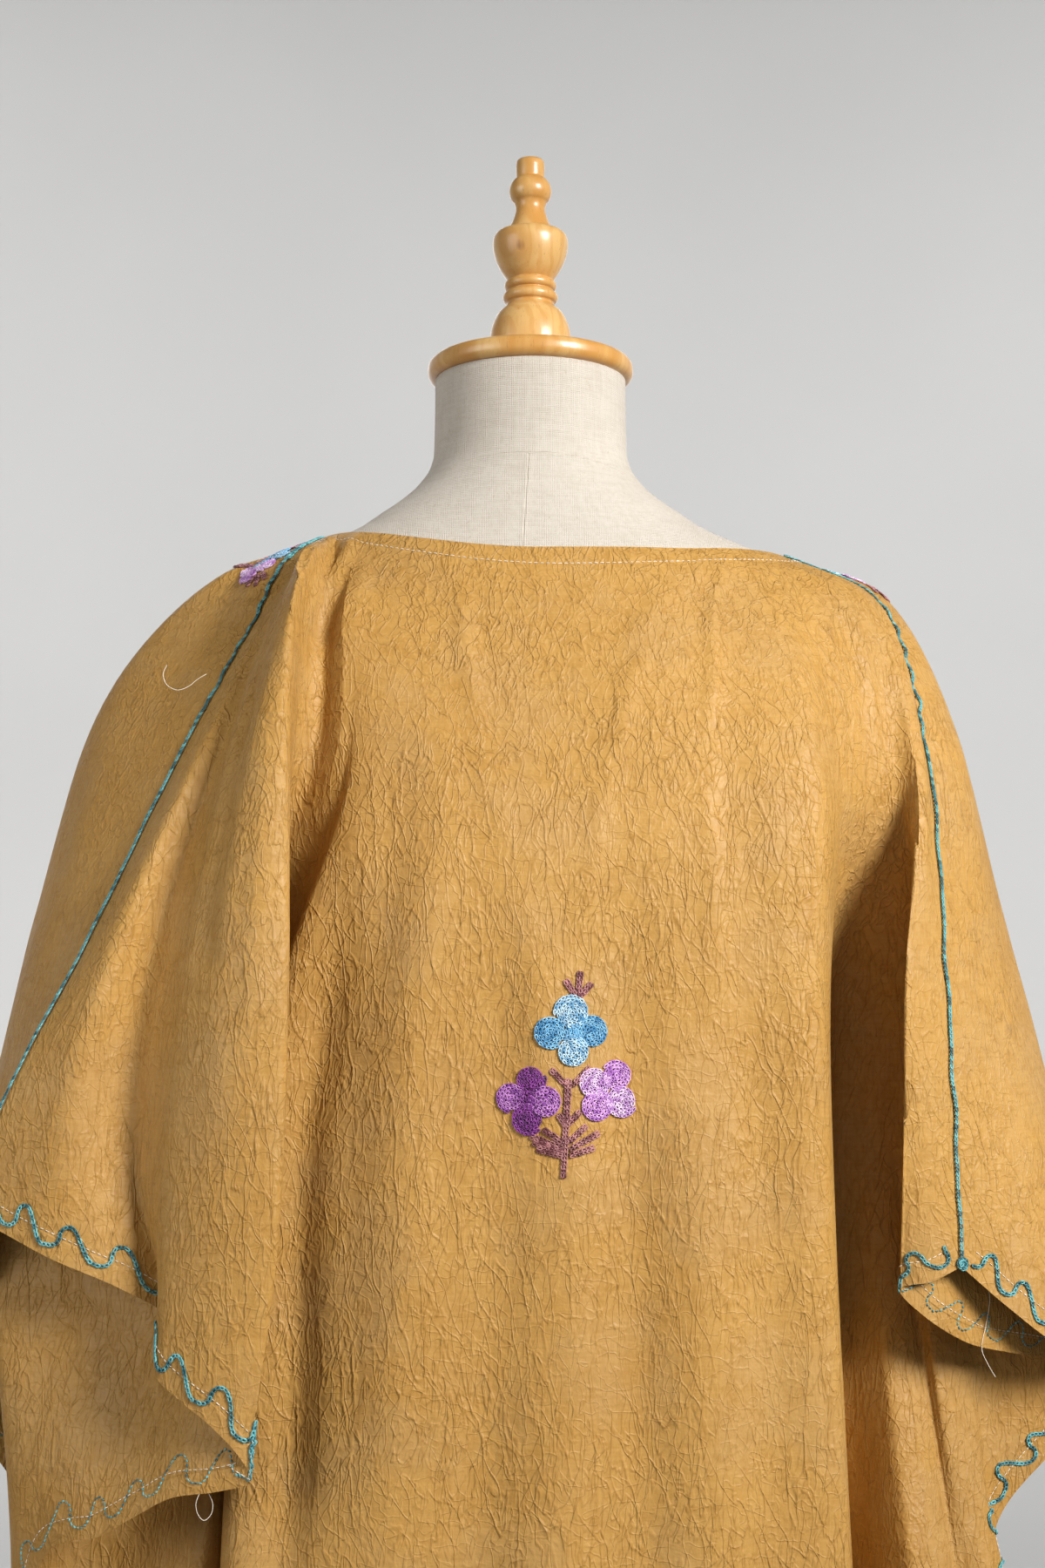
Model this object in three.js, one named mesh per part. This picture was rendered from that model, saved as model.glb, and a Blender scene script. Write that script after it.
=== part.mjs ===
// A wide kaftan of two panels, draped on a limbless dress form with a turned wooden top.
// Millimetres, +Z up. The kaftan's back faces -Y, and the stand's foot is centred on the origin.
import * as THREE from 'three';

// ---- driving sizes of the kaftan
const clothWall = 1.6;
const seamShift = 1.1;
const tightestFold = 2.6;
const bodyEase = 4.4;
const shoulderEase = 2.7;
const neckLeft = new THREE.Vector3(-124, -20, 1418);
const neckRight = new THREE.Vector3(151, -20, 1407);
const backNeck = { depth: 68, z: 1400 };
const frontNeck = { depth: 108, z: 1386 };

// ---- driving sizes of the form and its stand
const neckTopZ = 1519;
const capRadius = 62.5;
const capThickness = 12.6;
const torsoFootZ = 772;
const poleRadius = 14;
const footRadius = 188;
const footHeight = 24;
const joint = 0.35;

// Levels of the form: half width, depth behind and before, and how square the level is.
const formLevels = readTable(`
    z    half  back  front square
  772    138    88     84    2.1
  782    156    104    96    2.1
  800    164    112   102    2.1
  840    170    118   106    2.1
  900    163    114   103    2.1
  970    140    100    97    2.0
 1030    122    88     93    2.0
 1090    132    93     102   2.0
 1150    150    102    118   2.0
 1200    163    109    126   2.0
 1250    178    114    120   2.1
 1300    191    113    110   2.2
 1345    194    105    96    2.2
 1370    190    97     86    2.2
 1390    177    89     77    2.1
 1403    159    83     72    2.0
 1413    134    78     69    2.0
 1424    107    74     66    2.0
 1432    96     71     64    2.0
 1441    82     67     62    2.0
 1450    71     63     60    2.0
 1461    62     59.5   58.5  2.0
 1472    58.5   58     58    2.0
 1500    58     58     58    2.0
 1519    58     58     58    2.0
`);

// Folds of the back panel, from the left shoulder seam to the right one. Each runs down from
// the neck edge (-1 to 1); x and y are where it lies 60, 160 and 300 mm along, half way down
// what is left of it, and at its free end, whose height is z.
const backFolds = readTable(`
 fold      neck    x60  y60  x160 y160  x300 y300  xMid yMid  xEnd yEnd  z
 seamL    -1.000  -148  -58  -187  -97  -242 -125  -275 -132  -302 -130 1034
 rollL    -0.985  -144  -66  -175 -112  -222 -143  -243 -150  -252 -150 1012
 hollowL  -0.970  -139  -73  -166 -114  -205 -129  -211 -133  -184 -143  976
 noseL    -0.955  -135  -80  -157 -130  -180 -152  -188 -161  -192 -163  955
 ridgeL   -0.940  -130  -88  -145 -142  -155 -170  -160 -178  -162 -180  932
 foldL    -0.925  -126 -101  -132 -148  -127 -172  -128 -180  -141 -178  905
 under1L  -0.910  -122  -95  -128 -127  -138 -146  -152 -150  -184 -163  893
 under2L  -0.895  -119  -91  -126 -117  -168 -118  -222 -110  -226 -140  868
 tipL     -0.880  -116  -90  -122 -112  -206  -99  -288  -92  -257 -120  854
 flap1L   -0.865  -113  -91  -118 -112  -180  -86  -250  -80  -284  -98  640
 flap2L   -0.850  -110  -93  -114 -115  -164  -88  -236  -78  -334  -54  350
 cornerL  -0.835  -107  -95  -110 -118  -154  -91  -205 -108  -325  -42  168
 flap3L   -0.820  -104  -97  -107 -120  -148  -94  -192 -115  -292 -112  205
 flap4L   -0.800  -101  -98  -104 -121  -143  -97  -178  -98  -230 -134  225
 gapL     -0.780   -97  -99  -101 -122  -139 -104  -166  -50  -186  -14  238
 sideL    -0.740   -92 -100   -97 -126  -138 -128  -166 -128  -175 -132  236
 backL1   -0.600   -72 -104   -80 -132  -104 -141  -122 -144  -134 -152  233
 backL2   -0.400   -48 -107   -54 -136   -66 -147   -76 -150   -84 -146  231
 backL3   -0.200   -22 -109   -26 -138   -30 -148   -36 -148   -42 -154  230
 centre    0.000     8 -110     4 -138     4 -149     2 -152     2 -148  230
 backR3    0.200    36 -109    32 -137    34 -148    38 -148    42 -155  230
 backR2    0.400    62 -107    58 -136    66 -146    76 -150    82 -147  231
 backR1    0.600    90 -102    88 -133   100 -142   114 -145   122 -152  232
 crease    0.760   114  -94   112 -128   130 -138   146 -140   152 -146  233
 sideR     0.840   144  -84   157 -120   156 -131   170 -132   172 -132  236
 gapR       0.860   157   -76   172   -94   172   -34   180   -36   196   -14   240
 flap4R     0.875   163   -72   178   -88   180   -26   200   -76   236  -120   226
 flap3R     0.890   168   -69   183   -84   188   -25   222  -100   296  -104   205
 cornerR    0.900   172   -66 187.5   -81   195   -26   242   -94   332   -40   168
 flap2R     0.910   176   -63   192 -78.5   203   -28   248   -64   338   -54   370
 flap1R     0.920   180   -61   196   -77   211   -31   238   -52   318   -64   640
 notchR     0.930   184   -59   200 -75.5   220   -34   252   -30   262   -34   842
 tipR       0.940   187   -56   204 -74.5   238   -42   290   -24   335   -16   925
 under2R    0.950   190   -53   208   -74   226   -63   252   -60   287   -50   945
 under1R    0.960   194   -49 212.5   -75   214   -83   218   -84   240   -76   957
 foldR      0.970   198   -44 217.5 -76.5   205   -99   203   -99   200   -92   988
 stripR     0.985   202   -34   222   -68   217   -93   219   -96   217   -96   992
 seamR     1.000   205  -22   226  -57   231  -82   233  -88   235  -91 1000
`);

// Folds of the front panel, from the left shoulder seam to the right one.
const frontFolds = readTable(`
 fold      neck    x60  y60  x160 y160  x300 y300  xMid yMid  xEnd yEnd  z
 seamL    -1.000  -148  -58  -187  -97  -242 -125  -275 -132  -302 -130 1034
 shoulderL -0.985  -163   -40  -218   -66  -267   -90  -288  -100  -294  -104  1000
 outL      -0.965  -180   -20  -248   -28  -286   -40  -308   -62  -342   -88   968
 turnL     -0.945  -182    -2  -252     4  -290     8  -304   -10  -350   -22   970
 farL      -0.925  -176    20  -240    46  -276    66  -304    52  -366    46   925
 stripL    -0.905  -158    39  -206    79  -242   105  -275   104  -322    72   856
 frontL    -0.885  -151    46  -193    89  -223   114  -240   122  -288    84   806
 foldL     -0.865  -144    53  -178    98  -202   124  -206   142  -212   140   770
 under1L   -0.850  -137    59  -166   100  -180   104  -188   110  -214   104   720
 flap1L    -0.835  -130    64  -156   102  -174    96  -232    94  -302    84   560
 flap2L    -0.820  -124    68  -147   104  -168    90  -236    76  -338    58   350
 cornerL   -0.805  -118    72  -139   106  -160    90  -212    80  -324    42   168
 flap3L    -0.790  -112    75  -132   109  -153    94  -192    98  -292   108   205
 flap4L    -0.775  -106    78  -125   112  -147    96  -180    90  -232   132   225
 gapL      -0.760  -100    80  -118   115  -141    96  -167    42  -186   -10   238
 sideL     -0.730   -93    83  -111   119  -138   122  -167   120  -178   122   236
 frontL1  -0.600   -72   91   -86  130  -108  143  -126  138  -138  146  233
 frontL2  -0.400   -46   96   -54  136   -66  150   -76  146   -84  140  231
 frontL3  -0.200   -20   99   -24  138   -30  152   -36  144   -40  148  229
 centre    0.000     8  100     4  138     4  150     4  145     2  141  228
 frontR3   0.200    36   99    32  138    36  152    40  144    42  149  229
 frontR2   0.400    64   96    60  136    70  150    80  146    86  141  231
 frontR1   0.600    94   91    92  130   112  143   128  138   140  146  233
 sideR      0.730   118    83   124   119   144   122   168   120   180   122   236
 gapR       0.762   126    80   133   115   150    96   178    42   196   -10   240
 flap4R     0.778   132    77   141   112   158    96   186    90   238   132   226
 flap3R     0.793   139    74   149   109   166    94   200    98   298   108   205
 cornerR    0.808   146    70   158   105   175    90   216    80   328    42   168
 flap2R     0.825   153    66   168   102   184    92   240    76   340    58   360
 flap1R     0.845   161    61   178    98   192    98   236    92   306    84   560
 under1R    0.865   169    56   190    92   208   102   214   108   226   102   730
 foldR      0.885   177    50   201    88   222   118   226   138   232   142   790
 frontR     0.905   185    43   214    80   242   108   262   116   292   100   842
 farR       0.925   193    35   226    70   262    94   288    92   330    72   880
 outR       0.945   201    25   240    48   281    62   312    48   366    22   914
 turnR      0.965   209    12   254    10   291    14   318    -4   346   -38   938
 shoulderR  0.985   212    -6   248   -34   266   -50   284   -62   290   -76   956
 seamR     1.000   205  -22   226  -57   231  -82   233  -88   235  -91 1000
`);

// Reads a table whose first line names its columns; text stays text, the rest are numbers.
function readTable(text) {
  const lines = text.trim().split('\n').map((line) => line.trim().split(/\s+/));
  const names = lines[0];
  return lines.slice(1).map((cells) => {
    const row = {};
    names.forEach((name, i) => {
      row[name] = Number.isNaN(Number(cells[i])) ? cells[i] : Number(cells[i]);
    });
    return row;
  });
}

// Centripetal spline through the points, at a place between points i and i + 1.
function splinePoint(points, i, f) {
  const last = points.length - 1;
  const p1 = points[i];
  const p2 = points[Math.min(i + 1, last)];
  const p0 = i > 0 ? points[i - 1] : p1.clone().multiplyScalar(2).sub(p2);
  const p3 = i + 2 <= last ? points[i + 2] : p2.clone().multiplyScalar(2).sub(p1);
  const gap = (a, b) => Math.max(Math.sqrt(a.distanceTo(b)), 1e-3);
  const t1 = gap(p0, p1);
  const t2 = t1 + gap(p1, p2);
  const t3 = t2 + gap(p2, p3);
  const t = t1 + f * (t2 - t1);
  const mix = (a, b, ta, tb) => a.clone().multiplyScalar((tb - t) / (tb - ta))
    .add(b.clone().multiplyScalar((t - ta) / (tb - ta)));
  const a1 = mix(p0, p1, 0, t1);
  const a2 = mix(p1, p2, t1, t2);
  const a3 = mix(p2, p3, t2, t3);
  const b1 = mix(a1, a2, 0, t2);
  const b2 = mix(a2, a3, t1, t3);
  return mix(b1, b2, t1, t2);
}

// How far outside the form a point is, by the level it stands at.
function formLevel(z) {
  const last = formLevels.length - 1;
  if (z <= formLevels[0].z || z >= formLevels[last].z) {
    return null;
  }
  const i = formLevels.findIndex((level) => level.z > z) - 1;
  const a = formLevels[i];
  const b = formLevels[i + 1];
  const f = (z - a.z) / (b.z - a.z);
  const part = (name) => a[name] + f * (b[name] - a[name]);
  return { half: part('half'), back: part('back'), front: part('front'), square: part('square') };
}

function formReach(p) {
  const level = formLevel(p.z);
  if (!level) {
    return 1;
  }
  const depth = p.y < 0 ? level.back : level.front;
  const sum = (Math.abs(p.x) / level.half) ** level.square + (Math.abs(p.y) / depth) ** level.square;
  return (sum ** (1 / level.square) - 1) * Math.min(level.half, depth);
}

// Lets a point of the cloth rest on the form instead of lying inside it.
function restOnForm(point) {
  const p = point.clone();
  const step = 0.5;
  const ease = THREE.MathUtils.mapLinear(THREE.MathUtils.clamp(p.z, 1350, 1400), 1350, 1400, bodyEase, shoulderEase);
  for (let pass = 0; pass < 12; pass += 1) {
    const reach = formReach(p);
    if (reach >= ease * 2.2) {
      break;
    }
    const slope = new THREE.Vector3(
      formReach(new THREE.Vector3(p.x + step, p.y, p.z)) - formReach(new THREE.Vector3(p.x - step, p.y, p.z)),
      formReach(new THREE.Vector3(p.x, p.y + step, p.z)) - formReach(new THREE.Vector3(p.x, p.y - step, p.z)),
      formReach(new THREE.Vector3(p.x, p.y, p.z + step)) - formReach(new THREE.Vector3(p.x, p.y, p.z - step)),
    ).divideScalar(2 * step);
    const steep = Math.max(slope.length(), 0.2);
    const away = reach / steep;
    if (away >= ease) {
      break;
    }
    p.add(slope.divideScalar(steep).multiplyScalar((ease - away) * 0.9));
  }
  return p;
}

// A point of the neck edge, from the left corner (-1) to the right one (1).
function neckPoint(t, side, neck) {
  const f = (t + 1) / 2;
  const corner = t < 0 ? neckLeft : neckRight;
  return new THREE.Vector3(
    neckLeft.x + f * (neckRight.x - neckLeft.x),
    neckLeft.y + side * neck.depth * (1 - t * t) ** 0.7,
    neck.z + (corner.z - neck.z) * Math.abs(t) ** 2.2,
  );
}

// The line a fold follows: its height comes from how far the cloth has run along it.
function foldLine(row, side, neck) {
  const start = neckPoint(row.neck, side, neck);
  const line = [start];
  const near = [[row.x60, row.y60, 60], [row.x160, row.y160, 100], [row.x300, row.y300, 140]];
  near.forEach(([x, y, run]) => {
    const from = line[line.length - 1];
    const level = Math.hypot(x - from.x, y - from.y);
    const fall = Math.sqrt(Math.max(run * run - level * level, (run * 0.3) ** 2));
    line.push(new THREE.Vector3(x, y, from.z - fall));
  });
  const from = line[line.length - 1];
  const first = Math.hypot(row.xMid - from.x, row.yMid - from.y);
  const second = Math.hypot(row.xEnd - row.xMid, row.yEnd - row.yMid);
  const drop = from.z - row.z;
  const bias = 0.5 + 0.12 * (second - first) / Math.max(drop, 60);
  line.push(new THREE.Vector3(row.xMid, row.yMid, from.z - drop * bias));
  line.push(new THREE.Vector3(row.xEnd, row.yEnd, row.z));
  return line;
}

const rowPlaces = [0, 0.3, 0.6, 0.9, 1.25, 1.6, 2, 2.35, 2.7, 3, 3.25, 3.5, 3.75, 4, 4.25, 4.5, 4.75, 5];

// The panel's middle surface as columns of points, two columns to each fold.
function panelGrid(folds, side, neck) {
  const lines = folds.map((row) => foldLine(row, side, neck));
  const rows = rowPlaces.map((place) => {
    const i = Math.min(Math.floor(place), 4);
    return lines.map((line) => splinePoint(line, i, place - i));
  });
  const columns = [];
  for (let k = 0; k < lines.length - 1; k += 1) {
    [0, 0.5].forEach((f) => columns.push(rows.map((row) => splinePoint(row, k, f))));
  }
  columns.push(rows.map((row) => row[row.length - 1].clone()));
  [[0, 1], [columns.length - 1, columns.length - 2]].forEach(([edge, inner]) => {
    columns[edge].forEach((p, j) => {
      const inward = columns[inner][j].clone().sub(p);
      p.add(inward.setLength(seamShift));
    });
  });
  return openTightFolds(columns).map((column) => column.map(restOnForm));
}

// Opens folds too tight for the wall, so that it never meets itself inside one.
function openTightFolds(columns) {
  const last = columns.length - 1;
  for (let pass = 0; pass < 40; pass += 1) {
    for (let i = 1; i < last; i += 1) {
      columns[i].forEach((p, j) => {
        const a = columns[i - 1][j].clone().sub(p);
        const b = columns[i + 1][j].clone().sub(p);
        const chord = a.distanceTo(b);
        const turn = 2 * a.clone().cross(b).length();
        const tight = a.length() * b.length() * chord < tightestFold * turn;
        if (tight || a.angleTo(b) < 0.35) {
          p.add(a.add(b).multiplyScalar(0.12));
        }
      });
    }
  }
  return columns;
}

// The way out of the middle surface at a point, longer at a fold so the wall stays even there.
function mitred(grid, i, j) {
  const nu = grid.length;
  const nv = grid[0].length;
  const p = grid[i][j];
  const along = grid[i][Math.min(j + 1, nv - 1)].clone().sub(grid[i][Math.max(j - 1, 0)]);
  const before = p.clone().sub(grid[Math.max(i - 1, 0)][j]).cross(along).normalize();
  const after = grid[Math.min(i + 1, nu - 1)][j].clone().sub(p).cross(along).normalize();
  const way = before.clone().add(after).normalize();
  const shorter = Math.max(way.dot(i > 0 ? before : after), 0.24);
  return way.divideScalar(shorter);
}

// A wall of even thickness about a grid of points, closed at its four edges.
function wallOfGrid(grid) {
  const nu = grid.length;
  const nv = grid[0].length;
  const faces = [[], []];
  for (let i = 0; i < nu; i += 1) {
    for (let j = 0; j < nv; j += 1) {
      const normal = mitred(grid, i, j).multiplyScalar(clothWall / 2);
      faces[0].push(grid[i][j].clone().add(normal));
      faces[1].push(grid[i][j].clone().sub(normal));
    }
  }
  const points = [...faces[0], ...faces[1]];
  const second = nu * nv;
  const at = (i, j) => i * nv + j;
  const index = [];
  const quad = (a, b, c, d) => index.push(a, b, c, a, c, d);
  for (let i = 0; i < nu - 1; i += 1) {
    for (let j = 0; j < nv - 1; j += 1) {
      quad(at(i, j), at(i + 1, j), at(i + 1, j + 1), at(i, j + 1));
      quad(second + at(i, j), second + at(i, j + 1), second + at(i + 1, j + 1), second + at(i + 1, j));
    }
  }
  const rim = [];
  for (let i = 0; i < nu - 1; i += 1) {
    rim.push([at(i + 1, 0), at(i, 0)], [at(i, nv - 1), at(i + 1, nv - 1)]);
  }
  for (let j = 0; j < nv - 1; j += 1) {
    rim.push([at(0, j), at(0, j + 1)], [at(nu - 1, j + 1), at(nu - 1, j)]);
  }
  rim.forEach(([a, b]) => quad(a, b, second + b, second + a));
  return meshFrom(points, index);
}

function meshFrom(points, index) {
  const geometry = new THREE.BufferGeometry();
  geometry.setAttribute('position', new THREE.Float32BufferAttribute(points.flatMap((p) => [p.x, p.y, p.z]), 3));
  geometry.setIndex(index);
  geometry.computeVertexNormals();
  return geometry;
}

// A solid turned about the Z axis from a profile of radius and height that ends on the axis.
function turned(profile, sides) {
  const points = profile.map(([r, z]) => new THREE.Vector2(r, z));
  const geometry = new THREE.LatheGeometry(points, sides);
  geometry.rotateX(Math.PI / 2);
  return geometry;
}

// The smooth torso and neck of the form, lofted through its levels.
function torsoBody(around) {
  const points = [];
  const index = [];
  formLevels.forEach((level) => {
    for (let k = 0; k < around; k += 1) {
      const angle = (k / around) * Math.PI * 2;
      const c = Math.cos(angle);
      const s = Math.sin(angle);
      const power = 2 / level.square;
      const depth = s < 0 ? level.back : level.front;
      points.push(new THREE.Vector3(
        Math.sign(c) * Math.abs(c) ** power * level.half,
        Math.sign(s) * Math.abs(s) ** power * depth,
        level.z,
      ));
    }
  });
  const count = formLevels.length;
  for (let i = 0; i < count - 1; i += 1) {
    for (let k = 0; k < around; k += 1) {
      const next = (k + 1) % around;
      const a = i * around + k;
      const b = i * around + next;
      index.push(a, b, b + around, a, b + around, a + around);
    }
  }
  const foot = points.push(new THREE.Vector3(0, 0, formLevels[0].z)) - 1;
  const top = points.push(new THREE.Vector3(0, 0, formLevels[count - 1].z)) - 1;
  for (let k = 0; k < around; k += 1) {
    const next = (k + 1) % around;
    index.push(foot, next, k, top, (count - 1) * around + k, (count - 1) * around + next);
  }
  return meshFrom(points, index);
}

// Quarter rounds for an edge turned on the lathe.
function rounded(radius, z, size, from, to, steps) {
  const arc = [];
  for (let k = 0; k <= steps; k += 1) {
    const angle = THREE.MathUtils.degToRad(from + ((to - from) * k) / steps);
    arc.push([radius + size * Math.cos(angle), z + size * Math.sin(angle)]);
  }
  return arc;
}

const capFoot = neckTopZ + joint;
const capTop = capFoot + capThickness;
const capRound = capThickness * 0.42;
const capProfile = [
  [0, capFoot],
  ...rounded(capRadius - capRound, capFoot + capRound, capRound, -90, 0, 4),
  ...rounded(capRadius - capRound, capTop - capRound, capRound, 0, 90, 4),
  [0, capTop],
];

// Turned top: dome, two beads, bowl, waist, ball and peg.
const finialFoot = capTop + joint;
const finialProfile = [
  [0, finialFoot],
  [24.6, finialFoot],
  [25, 1541],
  [24.4, 1550],
  [22.4, 1557],
  [19, 1563],
  [14.2, 1567.4],
  ...rounded(13.2, 1572.2, 3.6, -70, 70, 4),
  ...rounded(12.6, 1579.6, 3.3, -70, 70, 4),
  [14.2, 1583.6],
  [17.8, 1589],
  [21.2, 1596],
  [23, 1604],
  [22.6, 1609.4],
  [20.4, 1612.4],
  [14, 1613.6],
  [11, 1617.5],
  [8.9, 1623.5],
  [8.8, 1627.6],
  ...rounded(3, 1639.4, 10, -46, 56, 7),
  [8.6, 1649.2],
  [8.6, 1657.6],
  [7.8, 1659],
  [0, 1659],
];

const footProfile = [
  [0, 0],
  [footRadius - 4, 0],
  ...rounded(footRadius - 5, 6, 5, -60, 0, 3),
  ...rounded(footRadius - 9, footHeight - 9, 9, 0, 80, 4),
  [40, footHeight],
  [0, footHeight],
];

const poleProfile = [
  [0, footHeight + joint],
  [poleRadius + 12, footHeight + joint],
  [poleRadius + 9, footHeight + 12],
  [poleRadius, footHeight + 26],
  [poleRadius, torsoFootZ - joint],
  [0, torsoFootZ - joint],
];

const silk = new THREE.MeshStandardMaterial({ color: 0xb98a3e, roughness: 0.62, metalness: 0 });
const linen = new THREE.MeshStandardMaterial({ color: 0xd9d0c0, roughness: 0.9, metalness: 0 });
const wood = new THREE.MeshStandardMaterial({ color: 0xc98f45, roughness: 0.35, metalness: 0 });

const group = new THREE.Group();
group.name = 'kaftan_on_form';

function add(name, geometry, material) {
  const mesh = new THREE.Mesh(geometry, material);
  mesh.name = name;
  group.add(mesh);
}

add('back_panel', wallOfGrid(panelGrid(backFolds, -1, backNeck)), silk);
add('front_panel', wallOfGrid(panelGrid(frontFolds, 1, frontNeck)), silk);
add('form_torso', torsoBody(48), linen);
add('neck_cap', turned(capProfile, 40), wood);
add('finial', turned(finialProfile, 24), wood);
add('stand_pole', turned(poleProfile, 24), wood);
add('stand_foot', turned(footProfile, 48), wood);

export default group;
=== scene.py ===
import math

import bpy
import numpy as np
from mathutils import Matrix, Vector
from mathutils.bvhtree import BVHTree


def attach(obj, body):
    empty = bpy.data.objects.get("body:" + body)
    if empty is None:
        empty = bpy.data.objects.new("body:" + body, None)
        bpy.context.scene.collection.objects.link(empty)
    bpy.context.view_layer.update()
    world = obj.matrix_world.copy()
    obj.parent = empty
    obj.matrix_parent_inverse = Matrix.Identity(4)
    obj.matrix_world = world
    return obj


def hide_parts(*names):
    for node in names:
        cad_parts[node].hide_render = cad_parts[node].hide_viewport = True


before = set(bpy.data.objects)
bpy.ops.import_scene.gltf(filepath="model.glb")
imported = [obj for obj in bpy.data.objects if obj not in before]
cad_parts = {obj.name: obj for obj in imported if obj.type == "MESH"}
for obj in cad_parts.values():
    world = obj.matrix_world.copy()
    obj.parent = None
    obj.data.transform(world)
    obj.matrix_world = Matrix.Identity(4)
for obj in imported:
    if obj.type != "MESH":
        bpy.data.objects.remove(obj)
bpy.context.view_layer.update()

mm = 0.001
dice = np.random.default_rng(1417)

cameraView = {"place": (-0.0048, -1.3, 1.1505), "tilt": 95.4, "lens": 50, "film": 36}

lens = bpy.data.cameras.new("kaftanCamera")
lens.lens = cameraView["lens"]
lens.sensor_fit = "VERTICAL"
lens.sensor_height = cameraView["film"]
camera = bpy.data.objects.new("kaftanCamera", lens)
camera.location = cameraView["place"]
camera.rotation_euler = (math.radians(cameraView["tilt"]), 0, 0)
bpy.context.scene.collection.objects.link(camera)
bpy.context.scene.camera = camera
print("camera set")

# Sizes of the cloth, the form and its stand, in millimetres.
cloth = {
    "seamShift": 0.25,            # how far each panel's edge stays short of the seam
    "tightestFold": 2.6,
    "bodyEase": 4.4,              # how clear of the form the cloth lies
    "shoulderEase": 2.7,
    "neckLeft": (-124, -20, 1418),
    "neckRight": (151, -20, 1407),
    "backNeck": {"depth": 68, "z": 1400},
    "frontNeck": {"depth": 108, "z": 1386},
    "neckRound": 0.7,
    "neckRise": 2.2,
    "runs": (60, 100, 140, 435, 435),      # along a fold, from the neck to the free end
    "leastFall": 0.3,             # share of a run that goes down, however far it leads out
    "lean": 0.12,
    "across": 5.2,                # widest cells of the mesh
    "down": 8.6,
    "flat": (1.226, 1.17),        # the cut of each panel, in metres
}
form = {
    "neckTop": 1519,
    "capRadius": 62.5,
    "capThickness": 12.6,
    "torsoFoot": 772,
    "poleRadius": 14,
    "footRadius": 188,
    "footHeight": 24,
    "joint": 0.35,
}

formLevels = """
    z    half  back  front square
  772    138    88     84    2.1
  782    156    104    96    2.1
  800    164    112   102    2.1
  840    170    118   106    2.1
  900    163    114   103    2.1
  970    140    100    97    2.0
 1030    122    88     93    2.0
 1090    132    93     102   2.0
 1150    150    102    118   2.0
 1200    163    109    126   2.0
 1250    178    114    120   2.1
 1300    191    113    110   2.2
 1345    194    105    96    2.2
 1370    190    97     86    2.2
 1390    177    89     77    2.1
 1403    159    83     72    2.0
 1413    134    78     69    2.0
 1424    107    74     66    2.0
 1432    96     71     64    2.0
 1441    82     67     62    2.0
 1450    71     63     60    2.0
 1461    62     59.5   58.5  2.0
 1472    58.5   58     58    2.0
 1500    58     58     58    2.0
 1519    58     58     58    2.0
"""

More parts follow.
